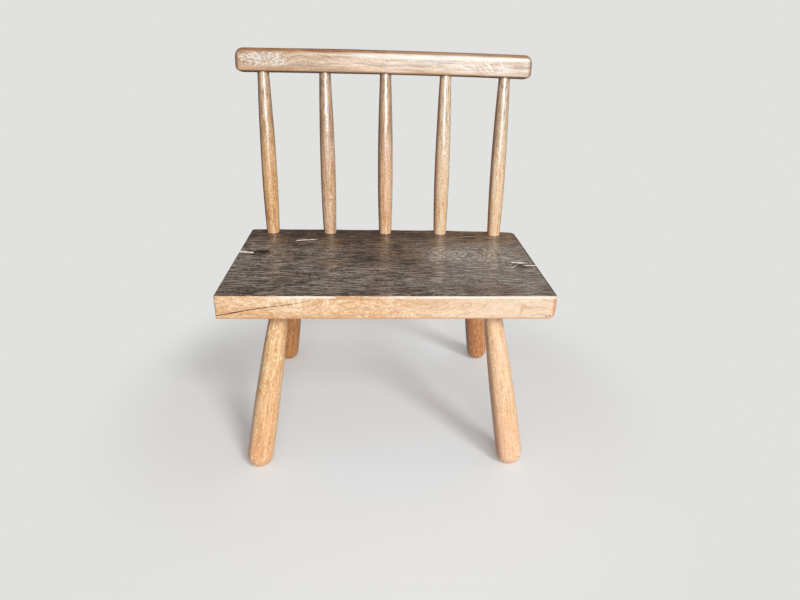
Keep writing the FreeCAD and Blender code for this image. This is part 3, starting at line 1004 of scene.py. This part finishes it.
class SeatProperties(PropertyGroup):
    edge_colour: FloatVectorProperty(
        name="Edge colour", description="The wood's colour on the seat's edges", subtype="COLOR",
        size=3, min=0, max=1, default=tint(230, 184, 138),
    )
    waviness: FloatProperty(
        name="Waviness", description="How far the worn top strays from flat", unit="LENGTH",
        subtype="DISTANCE", min=0, max=0.004, default=0.0014,
    )
    loop_spacing: FloatProperty(
        name="Loop spacing", description="How far apart the slab's edge loops lie", unit="LENGTH",
        subtype="DISTANCE", min=0.004, max=0.05, default=0.009,
    )


class RailProperties(PropertyGroup):
    colour: FloatVectorProperty(
        name="Colour", description="The middle colour of the rail's face", subtype="COLOR",
        size=3, min=0, max=1, default=tint(206, 168, 130),
    )
    waviness: FloatProperty(
        name="Waviness", description="How far the rail's face strays from flat", unit="LENGTH",
        subtype="DISTANCE", min=0, max=0.004, default=0.0012,
    )


class TurnedProperties(PropertyGroup):
    light: FloatVectorProperty(
        name="Light", description="The lightest colour of legs and spindles", subtype="COLOR",
        size=3, min=0, max=1, default=tint(240, 206, 166),
    )
    colour: FloatVectorProperty(
        name="Colour", description="The middle colour of legs and spindles", subtype="COLOR",
        size=3, min=0, max=1, default=tint(218, 168, 120),
    )
    dark: FloatVectorProperty(
        name="Dark", description="The darkest colour of legs and spindles", subtype="COLOR",
        size=3, min=0, max=1, default=tint(164, 110, 66),
    )
    sides: IntProperty(
        name="Sides", description="How many sides a turned blank has", min=16, max=128, default=48,
    )
    flats: FloatProperty(
        name="Flats", description="How deep the drawknife's flats are", unit="LENGTH",
        subtype="DISTANCE", min=0, max=0.003, default=0.0011,
    )


class StageProperties(PropertyGroup):
    floor_colour: FloatVectorProperty(
        name="Floor colour", description="The colour of the floor and backdrop", subtype="COLOR",
        size=3, min=0, max=1, default=tint(225, 225, 223),
    )
    floor_fill: FloatProperty(
        name="Floor fill", min=0, default=0.07,
        description="Light that the floor shows the camera and gives nothing else",
    )
    key_strength: FloatProperty(
        name="Key strength", description="How strong the main light is", min=0, default=1.45,
    )
    sky_strength: FloatProperty(
        name="Room strength", description="How strong the light from all round is", min=0,
        default=0.28,
    )


def adopt(piece, *nodes, slot):
    """Let a finished piece stand for the solids that it dresses."""
    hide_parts(*nodes)
    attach(piece, "root")


# The seat

BACK_BEND = 0.0595
BACK_FALL = 0.0145
END_SWELL = 0.0013
# Loops where the back edge bends, and loops round the slab's edges
BEND_LOOPS = (BACK_BEND, 0.1, 0.14, 0.18, 0.215, 0.245, 0.27)
EDGE_LOOPS = (0.316, 0.325, 0.334, 0.343)
# Loops lie this far off round numbers, where corners and cutters are
LOOP_SHIFT = 0.00013
EDGE_LOOP_SHIFT = 0.00007
MORTISE_GAP = 0.3 * MM
SOCKET_REACH = 0.029
SEAT_SOCKET_RADIUS = 0.01435
RAIL_SOCKET_RADIUS = 0.0122
KNOT_PLACE = (-0.2585, 0.0325, SEAT_TOP + 0.001)
KNOT_SIZE = (0.016, 0.0105, 0.012)


def back_edge(x):
    """Where the back edge runs at x."""
    past = max(0.0, (x - BACK_BEND) / (SEAT_HIGH.x - BACK_BEND))
    return SEAT_HIGH.y - BACK_FALL * past * past


def seat_slab():
    """The slab before it is cut: its outline, its top arris and its rolled ends."""
    low, high = SEAT_LOW, SEAT_HIGH
    slab = block("seat_slab", low, high)
    for station in BEND_LOOPS:
        slice_at(slab, (station, 0, 0), (1, 0, 0))
    slide(
        slab, 0, lambda point: point.x > BACK_BEND - MM and point.y > 0.1,
        lambda x: (0, back_edge(x) - high.y, 0),
    )

    def corner(edge, x_side, y_side):
        point = middle(edge)
        return abs(way(edge).z) > 0.9 and point.x * x_side > 0.3 and point.y * y_side > 0.1

    def rim(edge, height):
        level = all(abs(v.co.z - height) < 0.01 * MM for v in edge.verts)
        return level and edge.calc_face_angle(0) > 0.7

    def lower(edge, side):
        point = middle(edge)
        return abs(way(edge).y) > 0.9 and point.z < low.z + MM and point.x * side > 0

    rounded(slab, 0.012, 9, lambda e: corner(e, 1, 1))
    rounded(slab, 0.006, 6, lambda e: corner(e, -1, 1))
    rounded(slab, 0.004, 5, lambda e: corner(e, 1, -1) or corner(e, -1, -1))
    rounded(slab, 0.003, 5, lambda e: rim(e, high.z))
    rounded(slab, 0.001, 2, lambda e: rim(e, low.z))
    ends = block("ends", low - Vector((0, 0.02, 0)), high + Vector((0, 0.02, 0.02)))
    rounded(ends, 0.013, 11, lambda e: lower(e, 1))
    rounded(ends, 0.005, 7, lambda e: lower(e, -1))
    for step in range(1, 10):
        slice_at(ends, (0, low.y + (high.y - low.y) * step / 10, 0), (0, 1, 0))
    # The right end swells a little at its middle
    centre = (low.y + high.y) / 2
    slide(
        ends, 1, lambda point: point.x > 0.2,
        lambda y: (-END_SWELL * ((y - centre) / (high.y - centre)) ** 2, 0, 0),
    )
    boolean(slab, ends, "INTERSECT")
    return slab


def grid_slab(slab, spacing):
    """Give the slab loops to bend at."""
    low, high = SEAT_LOW, SEAT_HIGH
    for axis in (0, 1):
        count = round((high[axis] - low[axis]) / spacing)
        normal = Matrix.Identity(3)[axis]
        for step in range(1, count):
            place = low[axis] + (high[axis] - low[axis]) * step / count + LOOP_SHIFT
            slice_at(slab, normal * place, normal)
    for height in EDGE_LOOPS:
        slice_at(slab, (0, 0, height + EDGE_LOOP_SHIFT), (0, 0, 1))


def leg_ends(place):
    """Where a leg's axis meets the floor and the seat's top."""
    return Vector((*LEG_FEET[place], 0)), Vector((*LEG_TOPS[place], SEAT_TOP))


def lean_as_leg(piece, place):
    """Move a piece from the upright axis, below the origin, onto a leg's, below the seat's top."""
    foot, top = leg_ends(place)
    lean(piece, top, top + (top - foot))


def spindle_ends(place):
    """Where a spindle's axis meets the seat and the rail."""
    head_x, head_z = SPINDLE_HEADS[place]
    return Vector((*SPINDLE_FEET[place], SEAT_TOP)), Vector((head_x, RAIL_Y, head_z))


def mortise_cutter(place, gap, material):
    """What a leg's tenon takes out of the seat."""
    top_radius = TENON_RADIUS + gap
    stations = [(-0.075, NECK_RADIUS + gap), (0.0, top_radius), (0.012, top_radius)]
    cutter = turned("mortise", 64, stations)
    cutter.data.materials.append(material)
    lean_as_leg(cutter, place)
    return cutter


def socket_cutter(start, end, radius, material):
    """A blind socket at start, bored along the line to end."""
    places = (-SOCKET_REACH, -SOCKET_REACH / 2, 0.012)
    cutter = turned("socket", 48, [(place, radius) for place in places])
    cutter.data.materials.append(material)
    lean(cutter, start, end)
    return cutter


# Cracks by what fills them: each station's place on the surface, the width of
# the crack's mouth and its depth, in millimetres
TOP_CRACKS = {
    "left_end_split": ("white", [
        (-308, 34, 8, 2), (-300, 32.5, 7.5, 2), (-288, 30, 7, 2), (-276, 27.5, 5, 2),
        (-268, 26.5, 1.5, 1.5),
    ]),
    "left_end_upper": ("dusty", [
        (-286, 52, 1.4, 1.5), (-276, 53, 3.2, 2), (-262, 54.5, 3, 2), (-247, 56, 1.2, 1),
    ]),
    "left_end_lower": ("dark", [
        (-290, 21, 1.2, 4), (-277, 16, 4.0, 7), (-262, 12, 4.4, 8), (-246, 9, 1.4, 5),
    ]),
    "left_streak": ("dusty", [
        (-308, -72, 2.6, 1.5), (-296, -69, 3.2, 2), (-282, -63, 2.8, 2), (-266, -59, 1, 1),
    ]),
    "rear_left_slash": ("white", [
        (-196, 105.5, 1.4, 1.5), (-188, 108, 4.2, 2), (-170, 111, 4, 2), (-148, 113.5, 1.4, 1),
    ]),
    "right_upper": ("white", [
        (257, -25.5, 1.8, 1.5), (264, -26, 5.4, 2), (278, -27.4, 5.6, 2), (290, -28.4, 1.8, 1.5),
    ]),
    "right_upper_shade": ("dark", [
        (256, -32.5, 1.6, 5), (268, -34.5, 5, 9), (280, -35.5, 4.6, 9), (294, -34, 1.6, 5),
    ]),
    "right_tick": ("white", [
        (251, -57, 1.4, 1.5), (257, -50, 3.6, 2), (264, -42, 3, 2), (267, -38, 1.4, 1.5),
    ]),
    "right_streak": ("white", [
        (278, -40.4, 1.4, 1.5), (286, -41, 3, 2), (297, -41.8, 3.2, 2), (308, -42.4, 3, 2),
    ]),
    "right_blob": ("dark", [
        (262, -40, 1.6, 4), (268, -43.5, 6, 8), (275, -45, 4, 7), (283, -47, 1.6, 4),
    ]),
    "right_lower": ("dark", [(272, -50, 1.6, 4), (280, -53.5, 3.6, 6), (292, -59, 1.6, 4)]),
    "long_left": ("dusty", [
        (-112, -50, 0.9, 1), (-70, -57, 2, 1.2), (-20, -66, 2.1, 1.2), (28, -76, 0.9, 1),
    ]),
    "long_right": ("dusty", [
        (90, -11, 0.9, 1), (130, -7, 2.2, 1.2), (190, 1.5, 2.4, 1.2), (252, 8, 0.9, 1),
    ]),
}
FRONT_CHECK = [
    (-303.5, 314.6, 1.4, 5), (-293, 315.8, 1.7, 8), (-261, 322.5, 1.7, 9), (-225, 329, 1.3, 8),
    (-190, 333.6, 1.0, 7), (-155, 339, 0.8, 5), (-131, 346, 0.5, 3),
]


def knot_cutter(material):
    """An irregular pit where a knot has fallen out."""
    deselect()
    bpy.ops.mesh.primitive_ico_sphere_add(subdivisions=3, radius=1)
    knot = bpy.context.object
    knot.matrix_world = Matrix.Translation(KNOT_PLACE) @ Matrix.Diagonal((*KNOT_SIZE, 1))
    settle(knot)
    with editing(knot, "VERT"):
        bpy.ops.mesh.select_all(action="SELECT")
        bpy.ops.transform.vertex_random(offset=0.0016, uniform=0.6, normal=0.5, seed=7)
    knot.data.materials.append(material)
    return knot


def wear(point):
    """How much of its wear a place on the seat takes: none round a tenon or a spindle."""
    if point.z < SEAT_TOP - MM:
        return 0.35
    ends = (*LEG_TOPS.values(), *SPINDLE_FEET.values())
    return (min(math.dist(point.xy, end) for end in ends) - 0.019) / 0.025


def make_seat(settings):
    slab = seat_slab()
    grid_slab(slab, settings.loop_spacing)
    shave(slab, "worn_top", 0.11, settings.waviness, 2.2, wear, along=(1, 0, 0), level=0.85)
    wood = seat_material(settings)
    fillings = split_materials()
    # The dark filling, old dirt with painted shade, lines the mortises, sockets, deep cracks and
    # knot pit
    dark = fillings["dark"]
    dress(slab, wood)
    for place in LEG_TOPS:
        boolean(slab, mortise_cutter(place, MORTISE_GAP, dark))
    for place in SPINDLE_FEET:
        boolean(slab, socket_cutter(*spindle_ends(place), SEAT_SOCKET_RADIUS, dark))
    for name, (filling, stations) in TOP_CRACKS.items():
        path = [((x * MM, y * MM, SEAT_TOP), w * MM, d * MM) for x, y, w, d in stations]
        boolean(slab, groove(name, (0, 1, 0), (0, 0, -1), ragged(path, name), fillings[filling]))
    path = [((x * MM, FRONT, z * MM), w * MM, d * MM) for x, z, w, d in FRONT_CHECK]
    boolean(slab, groove("front_check", (0, 0, 1), (0, 1, 0), ragged(path, "front_check"), dark))
    boolean(slab, knot_cutter(dark))
    smooth(slab, 32)
    slab.name = slab.data.name = "slab_seat"
    adopt(slab, "seat", slot="seat_wood")


# Legs and spindles

# The palest wood of all
PALEST = (0.93, 0.77, 0.64)


def in_shade(settings, shade):
    """A turned piece's three colours in its shade, none paler than the palest wood."""
    return [
        tuple(min(limit, part * share) for limit, part, share in zip(PALEST, colour, shade))
        for colour in (settings.light, settings.colour, settings.dark)
    ]


def subdivided(piece):
    modifier = piece.modifiers.new("rounded", "SUBSURF")
    modifier.levels = modifier.render_levels = 1
    apply(piece, modifier)
    return piece


def stretched_copy(blank, name, stretch, start, end):
    """A copy of the blank, stretched, that runs from start towards end."""
    piece = copy_of(blank, name)
    piece.scale = (1, 1, stretch)
    settle(piece)
    lean(piece, start, end)
    return piece


def leg_blank(sides):
    """One club leg, upright on its own axis from the seat's top downwards."""
    widest = -(SEAT_TOP - 0.050) * LEG_SLOPE
    dome = -(SEAT_TOP - 0.023) * LEG_SLOPE
    stations = [(0.03, TENON_RADIUS), (0.012, TENON_RADIUS), (NECK / 2, TENON_MIDDLE_RADIUS)]
    stations.append((NECK, NECK_RADIUS))
    steps = 14
    for step in range(1, steps + 1):
        share = step / steps
        radius = CLUB_RADIUS - CLUB_SWELL * (1 - share) ** 2
        stations.append((NECK + (widest - NECK) * share, radius))
    for angle in range(0, 84, 12):
        turn = math.radians(angle)
        stations.append((dome - CLUB_RADIUS * math.sin(turn), CLUB_RADIUS * math.cos(turn)))
    return turned("leg_blank", sides, stations)


def wedge_blank(name):
    """A wedge, from side to side of the tenon and tapering downwards."""
    deselect()
    bpy.ops.mesh.primitive_cube_add(size=1, location=(0, 0, -0.012), scale=(0.05, 0.005, 0.044))
    wedge = added(name)
    settle(wedge)
    with editing(wedge):
        pick(wedge, "faces", lambda face: face.normal.z < -0.9)
        bpy.ops.transform.resize(value=(1, 0.2, 1), center_override=(0, 0, -0.034))
    return wedge


# The light and dark of each tenon's end, then of its wedge's
TENON_COLOURS = {
    "front_left": (tint(126, 115, 104), tint(64, 54, 46), tint(108, 97, 86), tint(58, 48, 40)),
    "front_right": (tint(166, 153, 139), tint(124, 112, 99), tint(126, 112, 98), tint(92, 79, 66)),
    "rear_left": (tint(86, 68, 54), tint(56, 42, 33), tint(76, 60, 48), tint(50, 38, 30)),
    "rear_right": (tint(98, 82, 68), tint(66, 52, 41), tint(214, 196, 174), tint(150, 130, 108)),
}


def tenon_top_material(name, seed, light, dark):
    """End grain of a leg's tenon, darkened like the seat round it."""
    material, tree, shader = new_material(name)
    space = piece_space(tree)
    rings = node(tree, "TexWave", {
        "Vector": stretched(space, (1.0, 1.0, 0.2)), "Scale": 130.0, "Distortion": 2.0,
        "Detail": 2.0, "Phase Offset": seed,
    }, wave_type="BANDS", bands_direction="Y")["Fac"]
    figure = rings * 0.45 + noise(stretched(space, (50, 260, 260)), 3.0, seed, 0.5) * 0.55
    plug(shader.inputs["Base Color"], ramp(figure, (0.32, dark), (0.6, light)))
    plug(shader.inputs["Roughness"], ranged(figure, 0.0, 1.0, 0.7, 0.5))
    relief(shader, figure, 0.4)
    return material


# What each leg's red, green and blue are times, how rosy it is low down, and how
# clearly its growth rings show
LEG_LOOKS = {
    "front_left": ((1.18, 1.26, 1.28), 0.45, 0.0),
    "front_right": ((1.4, 1.56, 1.86), 0.45, 0.0),
    "rear_left": ((1.04, 0.76, 0.44), 0.0, 0.25),
    "rear_right": ((0.8, 0.55, 0.32), 0.0, 0.55),
}
# The same colours for each spindle, and how much painted shade darkens the sides of its head
SPINDLE_LOOKS = {
    "far_left": ((1.18, 1.18, 1.1), 0.45),
    "left": ((1.08, 1.18, 1.38), 0.5),
    "centre": ((1.25, 1.32, 1.46), 0.6),
    "right": ((1.76, 1.72, 2.1), 0.0),
    "far_right": ((1.68, 1.64, 1.88), 0.3),
}


def make_legs(settings):
    blank = subdivided(leg_blank(settings.sides))
    for index, place in enumerate(LEG_TOPS):
        foot, top = leg_ends(place)
        slope = (top - foot).length / SEAT_TOP
        leg = stretched_copy(
            blank, f"club_leg_{place}", slope / LEG_SLOPE, top, top + (top - foot)
        )
        shave(
            leg, "flats", 0.02, settings.flats, 7.0,
            lambda p: min((SEAT_UNDER - 0.006 - p.z) / 0.02, (p.z + 0.004) / 0.01),
            along=top - foot, level=0.55,
        )
        slice_at(leg, (0, 0, SEAT_TOP), (0, 0, 1), clear_above=True)
        slice_at(leg, (0, 0, 0), (0, 0, -1), clear_above=True)
        shade, rose, chevrons = LEG_LOOKS[place]
        wood = turned_material(
            f"Leg wood {place}", foot, top, in_shade(settings, shade), 2.3 * index + 0.7,
            coat=0.3, fibre=0.5, rose=rose, chevrons=chevrons,
        )
        light, dark, _, _ = TENON_COLOURS[place]
        dress(leg, wood, tenon_top_material(f"Tenon end {place}", index, light, dark))
        for face in leg.data.polygons:
            if face.normal.z > 0.9 and face.center.z > SEAT_TOP - MM:
                face.material_index = 1
        kerf = wedge_blank("wedge_slot")
        lean_as_leg(kerf, place)
        kerf.data.materials.append(wood)
        boolean(leg, kerf)
        smooth(leg, 40)
        adopt(leg, f"leg_{place}", slot="leg_wood")
    bpy.data.objects.remove(blank)


def make_wedges():
    for index, place in enumerate(LEG_TOPS):
        wedge = wedge_blank(f"tenon_wedge_{place}")
        lean_as_leg(wedge, place)
        slice_at(wedge, (0, 0, SEAT_TOP), (0, 0, 1), clear_above=True)
        stations = [(-0.06, NECK_RADIUS), (-0.03, TENON_MIDDLE_RADIUS), (0.01, TENON_RADIUS)]
        tenon = turned("tenon", 96, stations)
        lean_as_leg(tenon, place)
        boolean(wedge, tenon, "INTERSECT")
        _, _, light, dark = TENON_COLOURS[place]
        dress(wedge, tenon_top_material(f"Wedge end {place}", 5 + index, light, dark))
        smooth(wedge, 30)
        adopt(wedge, f"wedge_{place}", slot="wedge_wood")


def spindle_blank(sides, length):
    """One spindle, upright on its own axis from the seat's top."""
    stations = [(place, SPINDLE_FOOT_RADIUS) for place in (-0.028, -0.012, 0.003)]
    for step in range(1, 7):
        share = step / 6
        radius = SPINDLE_RADIUS - SPINDLE_SWELL * (1 - share) ** 2
        stations.append((0.003 + 0.117 * share, radius))
    steps = 11
    for step in range(1, steps + 1):
        share = step / steps
        radius = SPINDLE_RADIUS - SPINDLE_TAPER * share ** 2
        stations.append((0.120 + (length - 0.120) * share, radius))
    stations += [(length + past, SPINDLE_HEAD_RADIUS) for past in (0.014, 0.028)]
    return turned("spindle_blank", sides, stations)


def make_spindles(settings):
    blank = subdivided(spindle_blank(settings.sides, SPINDLE_LENGTH))
    for index, place in enumerate(SPINDLE_FEET):
        foot, head = spindle_ends(place)
        spindle = stretched_copy(
            blank, f"shaved_spindle_{place}", (head - foot).length / SPINDLE_LENGTH, foot, head
        )
        shave(
            spindle, "flats", 0.014, settings.flats * 0.7, 8.0,
            lambda p: min((p.z - SEAT_TOP - 0.002) / 0.02, (RAIL_Z - 0.004 - p.z) / 0.02),
            along=head - foot, level=0.55,
        )
        shade, browned = SPINDLE_LOOKS[place]
        spindle.data.materials.append(turned_material(
            f"Spindle wood {place}", foot, head, in_shade(settings, shade), 1.9 * index + 5.3,
            coat=1.0, fibre=0.7, chalk=0.9, browned=browned,
        ))
        smooth(spindle, 40)
        adopt(spindle, f"spindle_{place}", slot="spindle_wood")
    bpy.data.objects.remove(blank)


# The crest rail

# How far from its ends the bar has loops, the heights of those on its face, and
# the radius and segments of its arrises above and below
END_LOOPS = (0.0, 0.0004, 0.0014, 0.003, 0.0052, 0.008, 0.0115, 0.016)
FACE_LOOPS = (0.0105, 0.017, 0.0235, 0.03)
UPPER_ARRIS = {"offset": 0.012, "segments": 9}
LOWER_ARRIS = {"offset": 0.004, "segments": 5}
RAIL_LOOPS = 60


def eased(depth, radius):
    """How far a round of this radius has pulled in, at this depth from the end."""
    return radius - math.sqrt(radius ** 2 - (radius - depth) ** 2) if depth < radius else 0.0


def rail_section(x):
    """The bar's underside, top and half thickness at x."""
    half = RAIL_LENGTH / 2
    from_end = max(half - abs(x), 0.0)
    arch = RAIL_ARCH * (1 - (x / half) ** 2)
    under = arch + eased(from_end, RAIL_LOWER_ROUND)
    top = arch + RAIL_HEIGHT - eased(from_end, RAIL_UPPER_ROUND)
    return under, top, RAIL_THICKNESS / 2 - eased(from_end, RAIL_END_ARRIS)


def rail_bar():
    """The bar, drawn from its left end, with full arrises, rounded ends and a slight arch."""
    half = RAIL_LENGTH / 2
    deselect()
    bpy.ops.mesh.primitive_plane_add(size=1, rotation=(0, math.pi / 2, 0))
    bar = added("rail_bar")
    bar.scale = (RAIL_HEIGHT, RAIL_THICKNESS, 1)
    bar.location = (-half, 0, RAIL_HEIGHT / 2)
    settle(bar)
    rounding = {"profile": 0.5, "affect": "VERTICES", "clamp_overlap": False}
    with editing(bar, "VERT"):
        pick(bar, "verts", lambda v: v.co.z > RAIL_HEIGHT / 2)
        bpy.ops.mesh.bevel(**UPPER_ARRIS, **rounding)
        pick(bar, "verts", lambda v: v.co.z < MM)
        bpy.ops.mesh.bevel(**LOWER_ARRIS, **rounding)
    for height in FACE_LOOPS:
        slice_at(bar, (0, 0, height), (0, 0, 1))
    inner = half - END_LOOPS[-1]
    stations = [-half + depth for depth in END_LOOPS]
    stations += [inner * (2 * step / RAIL_LOOPS - 1) for step in range(1, RAIL_LOOPS)]
    stations += [half - depth for depth in reversed(END_LOOPS)]
    under, top, thick = 0.0, RAIL_HEIGHT, RAIL_THICKNESS / 2
    place = Vector((-half, 0, RAIL_HEIGHT / 2))
    with editing(bar):
        bpy.ops.mesh.select_all(action="SELECT")
        for x in stations:
            new_under, new_top, new_thick = rail_section(x)
            aim = Vector((x, 0, (new_under + new_top) / 2))
            if x == stations[0]:
                bpy.ops.transform.translate(value=aim - place)
            else:
                bpy.ops.mesh.extrude_region_move(TRANSFORM_OT_translate={"value": aim - place})
            factors = (1, new_thick / thick, (new_top - new_under) / (top - under))
            bpy.ops.transform.resize(value=factors, center_override=aim)
            place, under, top, thick = aim, new_under, new_top, new_thick
    close_up(bar)
    return bar


def make_rail(settings):
    rail = rail_bar()
    turn = Matrix.Rotation(RAIL_FALL, 4, "Y") @ Matrix.Rotation(-RAIL_RAKE, 4, "X")
    rail.matrix_world = Matrix.Translation((0, RAIL_Y, RAIL_Z)) @ turn
    settle(rail)
    shave(rail, "worn", 0.07, settings.waviness, 3.0, lambda p: 1.0, along=(1, 0, 0), level=0.9)
    rail.data.materials.append(rail_material(settings))
    dark = bpy.data.materials["Split, dark"]
    for place in SPINDLE_FEET:
        foot, head = spindle_ends(place)
        boolean(rail, socket_cutter(head, foot, RAIL_SOCKET_RADIUS, dark))
    smooth(rail, 35)
    rail.name = rail.data.name = "rail_crest"
    adopt(rail, "crest_rail", slot="rail_wood")


# The stage

CAMERA_PLACE = Vector((-0.029, -1.1575, 0.781))
CAMERA_YAW = 3.02
CAMERA_PITCH = 24.35
CAMERA_ROLL = 1.29
CAMERA_LENS = 26.815
# The room is brightest where the main light is, and dim behind and to the left
KEY_WAY = Vector((0.46, -0.72, 0.62)).normalized()
KEY_ANGLE = 17
WINDOW_PLACE = Vector((0.3, -2.3, 1.4))
WINDOW_AIM = Vector((0, 0.1, 0.45))
FLOOR_ALBEDO = (0.82, 0.825, 0.82)
# Under the seat the paper is cooler, which offsets the wood's warm reflected light
FLOOR_UNDER_SEAT = (0.785, 0.85, 0.88)
ROOM_FLOOR = (0.12, 0.12, 0.12)
# How much painted light the floor shows the camera behind the chair, lifting the seat's shadow
# there
BEHIND_FILL = 0.26


def make_camera(scene):
    yaw, pitch, roll = (math.radians(angle) for angle in (CAMERA_YAW, CAMERA_PITCH, CAMERA_ROLL))
    ahead = math.cos(pitch)
    look = Vector((math.sin(yaw) * ahead, math.cos(yaw) * ahead, -math.sin(pitch)))
    level = Vector((math.cos(yaw), -math.sin(yaw), 0))
    upward = level.cross(look)
    right = level * math.cos(roll) + upward * math.sin(roll)
    up = upward * math.cos(roll) - level * math.sin(roll)
    data = bpy.data.cameras.new("Camera")
    data.lens = CAMERA_LENS
    camera = bpy.data.objects.new("Camera", data)
    turn = Matrix((right, up, -look)).transposed().to_4x4()
    camera.matrix_world = Matrix.Translation(CAMERA_PLACE) @ turn
    scene.collection.objects.link(camera)
    scene.camera = camera


def make_light(name, kind, away, **settings):
    """A light that shines from the way away."""
    data = bpy.data.lights.new(name, kind)
    for setting, value in settings.items():
        setattr(data, setting, value)
    lamp = bpy.data.objects.new(name, data)
    lamp.rotation_mode = "QUATERNION"
    lamp.rotation_quaternion = away.to_track_quat("Z", "Y")
    bpy.context.scene.collection.objects.link(lamp)
    return lamp


def make_room(scene, settings):
    """The light from all round, and the backdrop that the camera sees."""
    world = scene.world or bpy.data.worlds.new("Studio")
    scene.world = world
    world.use_nodes = True
    tree = world.node_tree
    background = tree.nodes["Background"]
    seen = node(tree, "LightPath")["Is Camera Ray"]
    plug(background.inputs["Color"], mixed(seen, (1, 1, 1), settings.floor_colour))
    toward = vectors("DOT_PRODUCT", node(tree, "TexCoord")["Generated"], KEY_WAY)
    dimmest, brightest = 0.5 * settings.sky_strength, 1.4 * settings.sky_strength
    room = softly(toward, -0.5, 0.6, dimmest, brightest)
    plug(background.inputs["Strength"], ranged(seen, 0.0, 1.0, room, 1.0))


def floor_material(settings):
    """The paper that the chair stands on, which fades into the backdrop."""
    material, tree, shader = new_material("Studio floor")
    shader.inputs["Roughness"].default_value = 0.9
    shader.inputs["Specular IOR Level"].default_value = 0.0
    # To the camera the floor takes a little light of its own, so that it matches the
    # backdrop where nothing shades it, and far off it is the backdrop's colour alone
    seen = node(tree, "LightPath")["Is Camera Ray"]
    ground = node(tree, "TexCoord")["Object"]
    away = vectors("LENGTH", ground)
    # A painted pool of light that lifts the seat's shadow behind the chair
    behind = spot(ground, (-0.12, 0.36, 0.0), (0.6, 0.3, 1.0)) * BEHIND_FILL
    strength = seen * (behind + settings.floor_fill)
    fill = node(tree, "Emission", {"Color": (1, 1, 0.985), "Strength": strength})["Emission"]
    lit = node(tree, "AddShader", {0: wires(shader)["BSDF"], 1: fill})["Shader"]
    inputs = {"Color": settings.floor_colour, "Strength": 1.0}
    backdrop = node(tree, "Emission", inputs)["Emission"]
    # The pale sheet ends beyond the chair, where the room's own floor is dark
    paper = mixed(softly(away, 0.22, 0.42), FLOOR_UNDER_SEAT, FLOOR_ALBEDO)
    plug(shader.inputs["Base Color"], mixed(softly(away, 0.75, 1.1), paper, ROOM_FLOOR))
    share = softly(away, 0.42, 0.72) * seen
    surface = node(tree, "MixShader", {"Fac": share, 1: lit, 2: backdrop})["Shader"]
    plug(tree.nodes["Material Output"].inputs["Surface"], surface)
    return material


def make_stage(settings):
    scene = bpy.context.scene
    make_camera(scene)
    make_light("Key", "SUN", KEY_WAY, energy=settings.key_strength, angle=math.radians(KEY_ANGLE))
    window = make_light(
        "Window", "AREA", WINDOW_PLACE - WINDOW_AIM,
        shape="RECTANGLE", size=1.25, size_y=0.9, energy=25,
    )
    window.location = WINDOW_PLACE
    make_room(scene, settings)
    deselect()
    bpy.ops.mesh.primitive_circle_add(vertices=96, radius=9, fill_type="NGON")
    floor = added("Floor")
    floor.data.materials.append(floor_material(settings))
    floor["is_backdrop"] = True
    scene.view_settings.view_transform = "Standard"


class SeatOperator(Operator):
    """Model the slab seat with its cracks, mortises and sockets"""

    bl_idname = "birthing_chair.seat"
    bl_label = "Seat"

    def execute(self, context):
        make_seat(context.scene.chair_seat)
        return {"FINISHED"}


class LegsOperator(Operator):
    """Model the four club legs"""

    bl_idname = "birthing_chair.legs"
    bl_label = "Legs"

    def execute(self, context):
        make_legs(context.scene.chair_turned)
        return {"FINISHED"}


class WedgesOperator(Operator):
    """Model the wedges in the legs' tenons"""

    bl_idname = "birthing_chair.wedges"
    bl_label = "Wedges"

    def execute(self, context):
        make_wedges()
        return {"FINISHED"}


class SpindlesOperator(Operator):
    """Model the five shaved spindles"""

    bl_idname = "birthing_chair.spindles"
    bl_label = "Spindles"

    def execute(self, context):
        make_spindles(context.scene.chair_turned)
        return {"FINISHED"}


class RailOperator(Operator):
    """Model the crest rail"""

    bl_idname = "birthing_chair.crest_rail"
    bl_label = "Crest rail"

    def execute(self, context):
        make_rail(context.scene.chair_rail)
        return {"FINISHED"}


class StageOperator(Operator):
    """Set up the floor, the lights and the camera"""

    bl_idname = "birthing_chair.stage"
    bl_label = "Stage"

    def execute(self, context):
        make_stage(context.scene.chair_stage)
        return {"FINISHED"}


class ChairPanel(Panel):
    """Lists the chair's pieces"""

    bl_idname = "VIEW3D_PT_birthing_chair"
    bl_label = "Birthing Chair"
    bl_space_type = "VIEW_3D"
    bl_region_type = "UI"
    bl_category = "Birthing Chair"

    def draw(self, context):
        for operator in OPERATORS:
            self.layout.operator(operator.bl_idname)


OPERATORS = (
    StageOperator, SeatOperator, LegsOperator, WedgesOperator, SpindlesOperator, RailOperator,
)
GROUPS = {
    "chair_seat": SeatProperties,
    "chair_rail": RailProperties,
    "chair_turned": TurnedProperties,
    "chair_stage": StageProperties,
}


def register():
    for kind in (*GROUPS.values(), *OPERATORS, ChairPanel):
        bpy.utils.register_class(kind)
    for name, kind in GROUPS.items():
        setattr(bpy.types.Scene, name, PointerProperty(type=kind))


def unregister():
    for name in GROUPS:
        delattr(bpy.types.Scene, name)
    for kind in reversed((*GROUPS.values(), *OPERATORS, ChairPanel)):
        bpy.utils.unregister_class(kind)


def main():
    register()
    bpy.ops.birthing_chair.stage()
    bpy.ops.birthing_chair.seat()
    bpy.ops.birthing_chair.legs()
    bpy.ops.birthing_chair.wedges()
    bpy.ops.birthing_chair.spindles()
    bpy.ops.birthing_chair.crest_rail()
    deselect()
    sizes = {
        "solid": [list(corner) for corner in solid_box],
        "visual": [list(corner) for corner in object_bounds()],
    }


if __name__ == "__main__":
    main()
